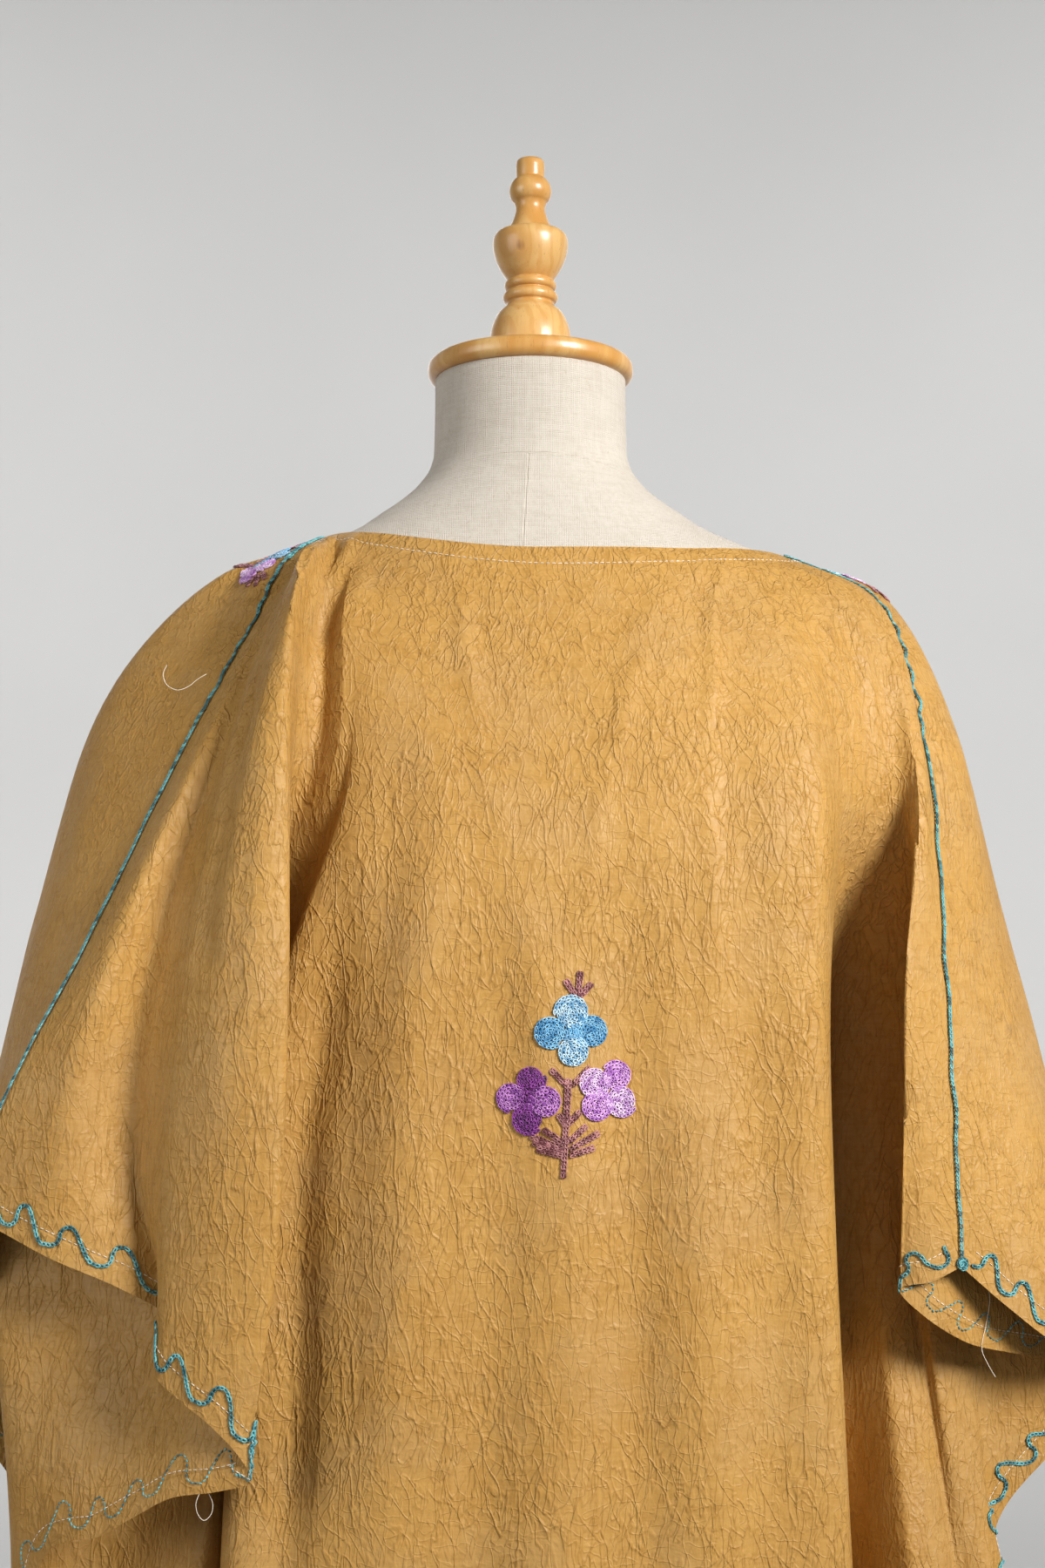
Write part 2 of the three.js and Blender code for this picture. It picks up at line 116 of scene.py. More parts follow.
# Each row is one fold: its place on the neck edge (-1 to 1), where it lies 60, 160 and 300 mm
# along, half way down what is left of it, and at its free end, whose height is z.
backFolds = """
 fold      neck    x60  y60  x160 y160  x300 y300  xMid yMid  xEnd yEnd  z
 seamL    -1.000  -148  -58  -187  -97  -242 -125  -275 -132  -302 -130 1034
 rollL    -0.985  -144  -66  -175 -112  -222 -143  -243 -150  -252 -150 1012
 hollowL  -0.970  -139  -73  -166 -114  -205 -129  -211 -133  -184 -143  976
 noseL    -0.955  -135  -80  -157 -130  -180 -152  -188 -161  -192 -163  955
 ridgeL   -0.940  -130  -88  -145 -142  -155 -170  -160 -178  -162 -180  932
 foldL    -0.925  -126 -101  -132 -148  -127 -172  -128 -180  -141 -178  905
 under1L  -0.910  -122  -95  -128 -127  -138 -146  -152 -150  -184 -163  893
 under2L  -0.895  -119  -91  -126 -117  -168 -118  -222 -110  -226 -140  868
 tipL     -0.880  -116  -90  -122 -112  -206  -99  -288  -92  -257 -120  854
 flap1L   -0.865  -113  -91  -118 -112  -180  -86  -250  -80  -284  -98  640
 flap2L   -0.850  -110  -93  -114 -115  -164  -88  -236  -78  -334  -54  350
 cornerL  -0.835  -107  -95  -110 -118  -154  -91  -205 -108  -325  -42  168
 flap3L   -0.820  -104  -97  -107 -120  -148  -94  -192 -115  -292 -112  205
 flap4L   -0.800  -101  -98  -104 -121  -143  -97  -178  -98  -230 -134  225
 gapL     -0.780   -97  -99  -101 -122  -139 -104  -166  -50  -186  -14  238
 sideL    -0.740   -92 -100   -97 -126  -138 -128  -166 -128  -175 -132  236
 backL1   -0.600   -72 -104   -80 -132  -104 -141  -122 -144  -134 -152  233
 backL2   -0.400   -48 -107   -54 -136   -66 -147   -76 -150   -84 -146  231
 backL3   -0.200   -22 -109   -26 -138   -30 -148   -36 -148   -42 -154  230
 centre    0.000     8 -110     4 -138     4 -149     2 -152     2 -148  230
 backR3    0.200    36 -109    32 -137    34 -148    38 -148    42 -155  230
 backR2    0.400    62 -107    58 -136    66 -146    76 -150    82 -147  231
 backR1    0.600    90 -102    88 -133   100 -142   114 -145   122 -152  232
 crease    0.760   114  -94   112 -128   130 -138   146 -140   152 -146  233
 sideR     0.840   144  -84   157 -120   156 -131   170 -132   172 -132  236
 gapR       0.860   157   -76   172   -94   172   -34   180   -36   196   -14   240
 flap4R     0.875   163   -72   178   -88   180   -26   200   -76   236  -120   226
 flap3R     0.890   168   -69   183   -84   188   -25   222  -100   296  -104   205
 cornerR    0.900   172   -66 187.5   -81   195   -26   242   -94   332   -40   168
 flap2R     0.910   176   -63   192 -78.5   203   -28   248   -64   338   -54   370
 flap1R     0.920   180   -61   196   -77   211   -31   238   -52   318   -64   640
 notchR     0.930   184   -59   200 -75.5   220   -34   252   -30   262   -34   842
 tipR       0.940   187   -56   204 -74.5   238   -42   290   -24   335   -16   925
 under2R    0.950   190   -53   208   -74   226   -63   252   -60   287   -50   945
 under1R    0.960   194   -49 212.5   -75   214   -83   218   -84   240   -76   957
 foldR      0.970   198   -44 217.5 -76.5   205   -99   203   -99   200   -92   988
 stripR     0.985   202   -34   222   -68   217   -93   219   -96   217   -96   992
 seamR     1.000   205  -22   226  -57   231  -82   233  -88   235  -91 1000
"""

frontFolds = """
 fold      neck    x60  y60  x160 y160  x300 y300  xMid yMid  xEnd yEnd  z
 seamL    -1.000  -148  -58  -187  -97  -242 -125  -275 -132  -302 -130 1034
 shoulderL -0.985  -163   -40  -218   -66  -267   -90  -288  -100  -294  -104  1000
 outL      -0.965  -180   -20  -248   -28  -286   -40  -308   -62  -342   -88   968
 turnL     -0.945  -182    -2  -252     4  -290     8  -304   -10  -350   -22   970
 farL      -0.925  -176    20  -240    46  -276    66  -304    52  -366    46   925
 stripL    -0.905  -158    39  -206    79  -242   105  -275   104  -322    72   856
 frontL    -0.885  -151    46  -193    89  -223   114  -240   122  -288    84   806
 foldL     -0.865  -144    53  -178    98  -202   124  -206   142  -212   140   770
 under1L   -0.850  -137    59  -166   100  -180   104  -188   110  -214   104   720
 flap1L    -0.835  -130    64  -156   102  -174    96  -232    94  -302    84   560
 flap2L    -0.820  -124    68  -147   104  -168    90  -236    76  -338    58   350
 cornerL   -0.805  -118    72  -139   106  -160    90  -212    80  -324    42   168
 flap3L    -0.790  -112    75  -132   109  -153    94  -192    98  -292   108   205
 flap4L    -0.775  -106    78  -125   112  -147    96  -180    90  -232   132   225
 gapL      -0.760  -100    80  -118   115  -141    96  -167    42  -186   -10   238
 sideL     -0.730   -93    83  -111   119  -138   122  -167   120  -178   122   236
 frontL1  -0.600   -72   91   -86  130  -108  143  -126  138  -138  146  233
 frontL2  -0.400   -46   96   -54  136   -66  150   -76  146   -84  140  231
 frontL3  -0.200   -20   99   -24  138   -30  152   -36  144   -40  148  229
 centre    0.000     8  100     4  138     4  150     4  145     2  141  228
 frontR3   0.200    36   99    32  138    36  152    40  144    42  149  229
 frontR2   0.400    64   96    60  136    70  150    80  146    86  141  231
 frontR1   0.600    94   91    92  130   112  143   128  138   140  146  233
 sideR      0.730   118    83   124   119   144   122   168   120   180   122   236
 gapR       0.762   126    80   133   115   150    96   178    42   196   -10   240
 flap4R     0.778   132    77   141   112   158    96   186    90   238   132   226
 flap3R     0.793   139    74   149   109   166    94   200    98   298   108   205
 cornerR    0.808   146    70   158   105   175    90   216    80   328    42   168
 flap2R     0.825   153    66   168   102   184    92   240    76   340    58   360
 flap1R     0.845   161    61   178    98   192    98   236    92   306    84   560
 under1R    0.865   169    56   190    92   208   102   214   108   226   102   730
 foldR      0.885   177    50   201    88   222   118   226   138   232   142   790
 frontR     0.905   185    43   214    80   242   108   262   116   292   100   842
 farR       0.925   193    35   226    70   262    94   288    92   330    72   880
 outR       0.945   201    25   240    48   281    62   312    48   366    22   914
 turnR      0.965   209    12   254    10   291    14   318    -4   346   -38   938
 shoulderR  0.985   212    -6   248   -34   266   -50   284   -62   290   -76   956
 seamR     1.000   205  -22   226  -57   231  -82   233  -88   235  -91 1000
"""


def readTable(text):
    lines = [line.split() for line in text.strip().splitlines()]
    names = lines[0]
    table = {}
    for k, name in enumerate(names):
        cells = [line[k] for line in lines[1:]]
        table[name] = cells if name == "fold" else np.array([float(c) for c in cells])
    return table


# Rows of a table without its heading; a first cell that is a word stays one.
def tableRows(text):
    rows = []
    for line in text.strip().splitlines()[1:]:
        cells = line.split()
        word = cells[:1] if cells[0].isalpha() else []
        rows.append((*word, *map(float, cells[len(word):])))
    return rows


def length(v):
    return np.linalg.norm(v, axis=-1, keepdims=True)


def unit(v):
    return v / np.maximum(length(v), 1e-9)


def smooth(low, high, x):
    t = np.clip((x - low) / (high - low), 0, 1)
    return t * t * (3 - 2 * t)


# Centripetal spline through the knots, at places counted in knots.
def splineAt(knots, places):
    last = len(knots) - 1
    out = []
    for place in places:
        i = min(int(place), last - 1)
        f = place - i
        p1, p2 = knots[i], knots[i + 1]
        p0 = knots[i - 1] if i > 0 else 2 * p1 - p2
        p3 = knots[i + 2] if i + 2 <= last else 2 * p2 - p1
        t1 = np.maximum(np.sqrt(length(p1 - p0)), 1e-3)
        t2 = t1 + np.maximum(np.sqrt(length(p2 - p1)), 1e-3)
        t3 = t2 + np.maximum(np.sqrt(length(p3 - p2)), 1e-3)
        t = t1 + f * (t2 - t1)
        a1 = (p0 * (t1 - t) + p1 * t) / t1
        a2 = (p1 * (t2 - t) + p2 * (t - t1)) / (t2 - t1)
        a3 = (p2 * (t3 - t) + p3 * (t - t2)) / (t3 - t2)
        b1 = (a1 * (t2 - t) + a2 * t) / t2
        b2 = (a2 * (t3 - t) + a3 * (t - t1)) / (t3 - t1)
        out.append((b1 * (t2 - t) + b2 * (t - t1)) / (t2 - t1))
    return np.array(out)


levels = readTable(formLevels)


def formAt(z):
    return [np.interp(z, levels["z"], levels[name]) for name in ("half", "back", "front", "square")]


# How far outside the form each point is, far away where it is above or below the form.
def formReach(p):
    z = p[..., 2]
    half, back, front, square = formAt(z)
    depth = np.where(p[..., 1] < 0, back, front)
    total = (np.abs(p[..., 0]) / half) ** square + (np.abs(p[..., 1]) / depth) ** square
    reach = (total ** (1 / square) - 1) * np.minimum(half, depth)
    inside = (z > levels["z"][0]) & (z < levels["z"][-1])
    return np.where(inside, reach, resting["farAway"])


resting = {
    "farAway": 1000,
    "shoulderFrom": 1350,     # the height where the ease starts to narrow, and over how much
    "shoulderOver": 50,
    "turns": 12,
    "share": 0.9,             # of the missing ease, made up in each turn
    "near": 2.2,
    "step": 0.5,
    "leastSlope": 0.2,
}


# Lets the cloth rest on the form instead of lying inside it.
def restOnForm(points, less=0):
    p = points.copy()
    high = np.clip((p[..., 2] - resting["shoulderFrom"]) / resting["shoulderOver"], 0, 1)
    ease = cloth["bodyEase"] + (cloth["shoulderEase"] - cloth["bodyEase"]) * high - less
    step = resting["step"]
    moving = np.ones(ease.shape, bool)
    for turn in range(resting["turns"]):
        reach = formReach(p)
        slope = np.zeros_like(p)
        for axis in range(3):
            way = np.zeros(3)
            way[axis] = step
            slope[..., axis] = (formReach(p + way) - formReach(p - way)) / (2 * step)
        steep = np.maximum(length(slope), resting["leastSlope"])
        away = reach / steep[..., 0]
        moving &= (reach < ease * resting["near"]) & (away < ease)
        if not moving.any():
            break
        push = slope / steep * ((ease - away) * resting["share"])[..., None]
        p = np.where(moving[..., None], p + push, p)
    return p


# A point of the neck edge, from the left corner (-1) to the right one (1).
def neckPoint(t, side, neck):
    left, right = np.array(cloth["neckLeft"], float), np.array(cloth["neckRight"], float)
    f = (t + 1) / 2
    corner = np.where(t < 0, left[2], right[2])
    x = left[0] + f * (right[0] - left[0])
    y = left[1] + side * neck["depth"] * np.maximum(1 - t * t, 0) ** cloth["neckRound"]
    z = neck["z"] + (corner - neck["z"]) * np.abs(t) ** cloth["neckRise"]
    return np.stack([x, y, z], -1)


# The lines the folds follow; their height comes from how far the cloth has run along them.
def foldLines(table, side, neck):
    line = [neckPoint(table["neck"], side, neck)]
    for at, run in zip(("60", "160", "300"), cloth["runs"]):
        x, y = table["x" + at], table["y" + at]
        level = np.hypot(x - line[-1][:, 0], y - line[-1][:, 1])
        fall = np.sqrt(np.maximum(run * run - level * level, (run * cloth["leastFall"]) ** 2))
        line.append(np.stack([x, y, line[-1][:, 2] - fall], -1))
    start = line[-1]
    first = np.hypot(table["xMid"] - start[:, 0], table["yMid"] - start[:, 1])
    second = np.hypot(table["xEnd"] - table["xMid"], table["yEnd"] - table["yMid"])
    drop = start[:, 2] - table["z"]
    bias = 0.5 + cloth["lean"] * (second - first) / np.maximum(drop, 60)
    line.append(np.stack([table["xMid"], table["yMid"], start[:, 2] - drop * bias], -1))
    line.append(np.stack([table["xEnd"], table["yEnd"], table["z"]], -1))
    return np.array(line)


opening = {"turns": 40, "sharpest": 0.35, "share": 0.12}


# Opens folds that are too tight for the cloth.
def openTightFolds(columns):
    for turn in range(opening["turns"]):
        for i in range(1, len(columns) - 1):
            a, b = columns[i - 1] - columns[i], columns[i + 1] - columns[i]
            la, lb, chord = length(a)[:, 0], length(b)[:, 0], length(a - b)[:, 0]
            bend = 2 * length(np.cross(a, b))[:, 0]
            angle = np.arccos(np.clip((a * b).sum(-1) / np.maximum(la * lb, 1e-9), -1, 1))
            tight = (la * lb * chord < cloth["tightestFold"] * bend) | (angle < opening["sharpest"])
            columns[i] += np.where(tight[:, None], (a + b) * opening["share"], 0)
    return columns


# Smooth noise from a seeded lattice, for ripples in the cloth.
def ripple(p, size, seed):
    cells = 40
    lattice = np.random.default_rng(seed).random((cells, cells, cells)) * 2 - 1
    q = p / np.array(size) + 100
    i = np.floor(q).astype(int)
    f = q - i
    f = f * f * (3 - 2 * f)
    total = 0
    for corner in range(8):
        step = np.array([corner & 1, corner >> 1 & 1, corner >> 2])
        share = np.where(step, f, 1 - f).prod(-1)
        k = (i + step) % cells
        total = total + lattice[k[..., 0], k[..., 1], k[..., 2]] * share
    return total


# Keeps a place inside the field.
def held(field, place, axis):
    return np.clip(place, 0, field.shape[axis] - 1.001)


# A field on a grid, read between its points.
def sampled(field, a, b):
    a, b = held(field, a, 0), held(field, b, 1)
    i, j = a.astype(int), b.astype(int)
    f, g = (a - i)[..., None], (b - j)[..., None]
    low = field[i, j] * (1 - f) + field[i + 1, j] * f
    high = field[i, j + 1] * (1 - f) + field[i + 1, j + 1] * f
    return low * (1 - g) + high * g


# The length from the first point to each of the others, along the points.
def runAlong(points, axis=0):
    steps = length(np.diff(points, axis=axis))[..., 0]
    return np.concatenate([np.zeros_like(np.take(steps, [0], axis)), np.cumsum(steps, axis)], axis)


# A panel as a grid of points: columns across it, rows from the neck to the free end.
class Sheet:
    def __init__(self, table, side, neck):
        self.names = table["fold"]
        self.out = side           # the outer face looks along side * the grid's normal
        places = []
        for k, run in enumerate(cloth["runs"]):
            n = round(run / cloth["down"])
            places += [k + j / n for j in range(n)]
        places.append(len(cloth["runs"]))
        folds = splineAt(foldLines(table, side, neck), places).transpose(1, 0, 2)
        columns = splineAt(folds, np.arange(0, len(folds) - 0.75, 0.5))
        for edge, inner in ((0, 1), (-1, -2)):
            columns[edge] += unit(columns[inner] - columns[edge]) * cloth["seamShift"]
        columns = restOnForm(openTightFolds(columns))
        across = []
        for k, span in enumerate(length(columns[1:] - columns[:-1])[..., 0].max(1)):
            n = max(2, math.ceil(span / cloth["across"]))
            across += [k + j / n for j in range(n)]
        across.append(len(columns) - 1)
        self.across = np.array(across)
        self.grid = restOnForm(splineAt(columns, across), 0.4)
        self.measure()

    def measure(self):
        g = self.grid
        self.nu, self.nv = g.shape[:2]
        du, dv = np.gradient(g, axis=0), np.gradient(g, axis=1)
        self.normal = unit(np.cross(du, dv)) * self.out
        self.run = runAlong(g, 1)

    def column(self, fold):
        return int(np.argmin(np.abs(self.across - 2 * self.names.index(fold))))


print("cloth tables read")

# Creases, one by one: the fold each starts and ends beside, the shares of the way down, how wide
# it is and how far it stands proud (or in, where negative), in millimetres.
backCreases = """
 fold    fromU  toU   fromV toV   wide  high
 pressed  22.6  22.4  0.00  0.12   4.6   2.4
 below    22.4  22.0  0.11  0.24   6.0   1.5
 upper    22.6  20.3  0.00  0.065  5.0   1.9
 second   21.1  20.4  0.05  0.12   5.0   1.6
 third    20.4  19.8  0.11  0.20   6.0   1.4
 cornerA  17.6  18.1  0.00  0.055  8.0  -2.6
 cornerB  17.2  17.9  0.02  0.11   6.0   1.8
 left     17.8  18.6  0.105 0.165  5.5   1.3
 leftLow  18.7  19.2  0.17  0.30   8.0   1.2
 bodyA    16.4  16.3  0.10  0.50  14.0  -3.2
 bodyB    17.2  17.0  0.12  0.50  15.0   2.8
 bodyC    18.5  18.2  0.16  0.62  15.0  -2.6
 bodyD    19.6  19.5  0.20  0.75  16.0   3.0
 bodyE    20.6  20.6  0.12  0.70  14.0  -2.8
 bodyF    21.5  21.6  0.20  0.80  16.0   3.0
 bodyG    22.5  22.6  0.14  0.80  13.0  -3.0
 troughL  15.75 15.7  0.17  0.56  15.0 -10.0
 ridgeR   36.1  36.05 0.03  0.22   4.2   2.0
 grooveR  35.5  35.4  0.04  0.24   5.0  -2.8
 pinchA   12.5   5.6  0.00  0.08   5.0   3.2
 pinchB   13.0   6.5  0.02  0.10   6.0  -3.2
 slit      4.9   4.8  0.012 0.08   4.8  -5.0
 pinchC    4.2   3.9  0.01  0.12   5.0   2.2
 pinchD    3.6   3.3  0.03  0.20   7.0  -2.2
 wingA     3.5   3.4  0.10  0.30   8.0  -2.0
 wingB     4.5   4.3  0.14  0.40   7.0   1.8
"""
frontCreases = """
 fold    fromU  toU   fromV toV   wide  high
 soft1    17.4  17.0  0.10  0.50   9.0   1.8
 soft2    18.5  18.8  0.12  0.70  10.0  -1.8
 soft3    19.5  19.1  0.08  0.36   6.0   1.4
 soft4    20.6  21.0  0.20  0.66  11.0   1.8
 soft5    21.6  21.4  0.30  0.85  10.0  -1.6
 pressed  18.9  19.0  0.05  0.42   3.0   1.4
"""


# How far each point stands proud for the creases of a table.
def creased(sheet, text):
    rise = np.zeros((sheet.nu, sheet.nv))
    rows = readTable(text)
    v = np.linspace(0, 1, sheet.nv)
    column = np.arange(sheet.nv)
    for k in range(len(rows["fromU"])):
        t = (v - rows["fromV"][k]) / (rows["toV"][k] - rows["fromV"][k])
        fold = rows["fromU"][k] + (rows["toU"][k] - rows["fromU"][k]) * t + 0.05 * np.sin(t * 11 + 2 * k)
        at = np.interp(fold * 2, sheet.across, np.arange(sheet.nu))
        line = sampled(sheet.grid, at, column.astype(float))
        gap = length(sheet.grid - line[None])[..., 0]
        end = smooth(0, 0.25, t) * smooth(0, 0.25, 1 - t)
        rise += rows["high"][k] * np.exp(-(gap / rows["wide"][k]) ** 2) * end
    return rise


crush = {
    "sway": (34, 34, 44), "swayBy": 7,
    "broad": (52, 52, 190), "broadBy": 2.2,      # slow waves down the cloth
    "narrow": (26, 26, 84), "narrowBy": 0.8,
    "ridges": (15, 15, 44), "ridgesBy": 0.15, "sharp": 4.6,
    "patches": (70, 70, 90),
    "seeds": {"back": 31, "front": 57},
}


# Crushes the panel: noise, ridges in patches and the listed creases.
def crushed(sheet, seed, text):
    g = sheet.grid
    u, v = runAlong(g, 0), sheet.run
    sway = np.stack([ripple(g, crush["sway"], seed + k) for k in range(3)], -1) * crush["swayBy"]
    rise = crush["broadBy"] * ripple(g, crush["broad"], seed + 9)
    rise += crush["narrowBy"] * ripple(g, crush["narrow"], seed + 11)
    ridge = np.maximum(1 - np.abs(ripple(g + sway, crush["ridges"], seed + 20)) * crush["sharp"], 0)
    patch = smooth(-0.3, 0.35, ripple(g, crush["patches"], seed + 40))
    rise += crush["ridgesBy"] * patch * ridge ** 1.4
    side = np.minimum(u, u[-1:] - u)
    ends = smooth(0, 16, v) * smooth(0, 20, side)
    rise = rise * (0.25 + 0.75 * ends) * smooth(0, 3, side) + creased(sheet, text)
    sheet.grid = restOnForm(g + sheet.normal * rise[..., None], 0.8)
    sheet.measure()


# Faces come in groups, each an array whose rows have the same number of corners.
def newObject(name, points, groups):
    points = np.asarray(points, float).reshape(-1, 3) * mm
    corners = np.concatenate([group.ravel() for group in groups])
    counts = np.concatenate([np.full(len(group), group.shape[1]) for group in groups])
    mesh = bpy.data.meshes.new(name)
    mesh.vertices.add(len(points))
    mesh.vertices.foreach_set("co", points.ravel())
    mesh.loops.add(len(corners))
    mesh.loops.foreach_set("vertex_index", corners)
    mesh.polygons.add(len(counts))
    mesh.polygons.foreach_set("loop_start", np.cumsum(counts) - counts)
    mesh.polygons.foreach_set("use_smooth", np.full(len(counts), True))
    mesh.update(calc_edges=True)
    made = bpy.data.objects.new(name, mesh)
    bpy.context.scene.collection.objects.link(made)
    return made


def newPiece(name, points, groups, node=None):
    piece = newObject(name, points, groups)
    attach(piece, "root")
    if node:
        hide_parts(node)
    return piece


def addUv(piece, name, values):
    layer = piece.data.uv_layers.new(name=name)
    corner = np.empty(len(piece.data.loops), int)
    piece.data.loops.foreach_get("vertex_index", corner)
    layer.data.foreach_set("uv", np.asarray(values, float)[corner].ravel())


def gridFaces(nu, nv):
    i, j = np.meshgrid(np.arange(nu - 1), np.arange(nv - 1), indexing="ij")
    a = (i * nv + j).ravel()
    return np.stack([a, a + nv, a + nv + 1, a + 1], -1)


# The sheet's faces with its map of how far in from the free edge and down from the neck a
# point is, in metres, for the turned hems.
def clothPiece(name, sheet, node):
    faces = gridFaces(sheet.nu, sheet.nv)
    piece = newPiece(name, sheet.grid, [faces[:, ::sheet.out]], node)
    inward = sheet.run[:, -1:] - sheet.run
    addUv(piece, "edge", np.stack([inward * mm, sheet.run * mm], -1).reshape(-1, 2))
    return piece


backSheet = Sheet(readTable(backFolds), -1, cloth["backNeck"])
frontSheet = Sheet(readTable(frontFolds), 1, cloth["frontNeck"])
crushed(backSheet, crush["seeds"]["back"], backCreases)
crushed(frontSheet, crush["seeds"]["front"], frontCreases)
backCloth = clothPiece("backCloth", backSheet, "back_panel")
frontCloth = clothPiece("frontCloth", frontSheet, "front_panel")
print("cloth shells", len(backCloth.data.polygons), len(frontCloth.data.polygons))


# Cosines and sines of even steps round a circle.
def circle(around):
    angle = np.arange(around) / around * 2 * math.pi
    return np.cos(angle), np.sin(angle)


# Faces between rings of points that follow one another.
def ringFaces(rings, around):
    i, k = np.meshgrid(np.arange(rings - 1), np.arange(around), indexing="ij")
    a, b = (i * around + k).ravel(), (i * around + (k + 1) % around).ravel()
    return np.stack([a, b, b + around, a + around], -1)


# A piece turned about the Z axis from a profile of radius and height.
def lathe(name, profile, around, node):
    c, s = circle(around)
    rings = [np.stack([r * c, r * s, np.full(around, z)], -1) for r, z in profile]
    foot, top = [[0, 0, profile[0][1]]], [[0, 0, profile[-1][1]]]
    points = np.concatenate([foot, *rings, top])
    k = np.arange(around)
    after = (k + 1) % around
    last = 1 + (len(profile) - 1) * around
    footFan = np.stack([np.zeros_like(k), 1 + after, 1 + k], -1)
    topFan = np.stack([np.full_like(k, len(points) - 1), last + k, last + after], -1)
    return newPiece(name, points, [ringFaces(len(profile), around) + 1, footFan, topFan], node)


def arc(radius, z, size, start, end, steps):
    angles = np.radians(np.linspace(start, end, steps + 1))
    return [(radius + size * math.cos(a), z + size * math.sin(a)) for a in angles]


# Rounds the run of a turned profile without moving its ends.
def turnedProfile(points, each):
    knots = np.array([(r, z, 0) for r, z in points], float)
    places = [i + j / each for i in range(len(knots) - 1) for j in range(each)] + [len(knots) - 1]
    return np.maximum(splineAt(knots, places)[:, :2], 0.01)


capFoot = form["neckTop"] + form["joint"]
capTop = capFoot + form["capThickness"]
capRound = form["capThickness"] * 0.42
capProfile = (
    [(30, capFoot)]
    + arc(form["capRadius"] - capRound, capFoot + capRound, capRound, -90, 0, 8)
    + arc(form["capRadius"] - capRound, capTop - capRound, capRound, 0, 90, 8)
    + [(30, capTop)]
)
finialFoot = capTop + form["joint"]
finialProfile = (
    [(24.6, finialFoot), (25, 1541), (24.4, 1550), (22.4, 1557), (19, 1563), (14.2, 1567.4)]
    + arc(13.2, 1572.2, 3.6, -70, 70, 6)
    + arc(12.6, 1579.6, 3.3, -70, 70, 6)
    + [(14.2, 1583.6), (17.8, 1589), (21.2, 1596), (23, 1604), (22.6, 1609.4), (20.4, 1612.4)]
    + [(15, 1613.6), (12.4, 1617.5), (10, 1623.5), (9, 1628.4)]
    + arc(3, 1639.4, 10, -46, 56, 10)
    + [(8.6, 1649.2), (8.6, 1657.6), (7.8, 1659)]
)
footEdge = form["footRadius"]
footTop = form["footHeight"]
footProfile = (
    [(20, 0), (footEdge - 4, 0)]
    + arc(footEdge - 5, 6, 5, -60, 0, 6)
    + arc(footEdge - 9, footTop - 9, 9, 0, 80, 8)
    + [(40, footTop), (20, footTop)]
)
poleFoot = footTop + form["joint"]
pole = form["poleRadius"]
poleTop = form["torsoFoot"] - form["joint"]
poleProfile = (
    [(pole + 12, poleFoot), (pole + 11.6, poleFoot + 3), (pole + 9, footTop + 12), (pole + 2, footTop + 20)]
    + [(pole, footTop + 26), (pole, 200), (pole, 400), (pole, 600), (pole, poleTop)]
)

neckCap = lathe("neckCap", capProfile, 128, "neck_cap")
finial = lathe("turnedTop", turnedProfile(finialProfile, 3), 96, "finial")
standPole = lathe("standPole", poleProfile, 48, "stand_pole")
standFoot = lathe("standFoot", footProfile, 128, "stand_foot")


# The torso and neck through the form's levels, closed at both ends.
def formShell(around):
    z = levels["z"]
    fine = np.concatenate([np.linspace(z[k], z[k + 1], 5)[:-1] for k in range(len(z) - 1)] + [z[-1:]])
    half, back, front, square = formAt(fine)
    for curve in (half, back, front):        # eases the corners of the straight runs
        for turn in range(2):
            curve[2:-2] = (curve[1:-3] + 2 * curve[2:-2] + curve[3:-1]) / 4
    c, s = circle(around)
    power = (2 / square)[:, None]
    depth = np.where(s < 0, back[:, None], front[:, None])
    x = np.sign(c) * np.abs(c) ** power * half[:, None]
    y = np.sign(s) * np.abs(s) ** power * depth
    points = np.stack([x, y, np.broadcast_to(fine[:, None], x.shape)], -1)
    last = (len(fine) - 1) * around
    ends = np.array([np.arange(around)[::-1], np.arange(around) + last])
    return newPiece("formShell", points, [ringFaces(len(fine), around), ends], "form_torso")


formTorso = formShell(144)
print("form and stand turned")


# A socket that Python's own operators can work on; each adds a Math node.
class Wire:
    def __init__(self, kit, socket):
        self.kit, self.socket = kit, socket

    def math(self, operation, *values):
        return self.kit.node("ShaderNodeMath", {"operation": operation}, dict(enumerate(values)))

    def __add__(self, other):
        return self.math("ADD", self, other)

    def __sub__(self, other):
        return self.math("SUBTRACT", self, other)

    def __rsub__(self, other):
        return self.math("SUBTRACT", other, self)

    def __mul__(self, other):
        return self.math("MULTIPLY", self, other)

    def __abs__(self):
        return self.math("ABSOLUTE", self)

    __radd__ = __add__
    __rmul__ = __mul__

    def least(self, other):
        return self.math("MINIMUM", self, other)

    def ramp(self, low, high, start=0.0, end=1.0):
        settings = {"interpolation_type": "SMOOTHSTEP", "clamp": True}
        inputs = {0: self, 1: low, 2: high, 3: start, 4: end}
        return self.kit.node("ShaderNodeMapRange", settings, inputs)


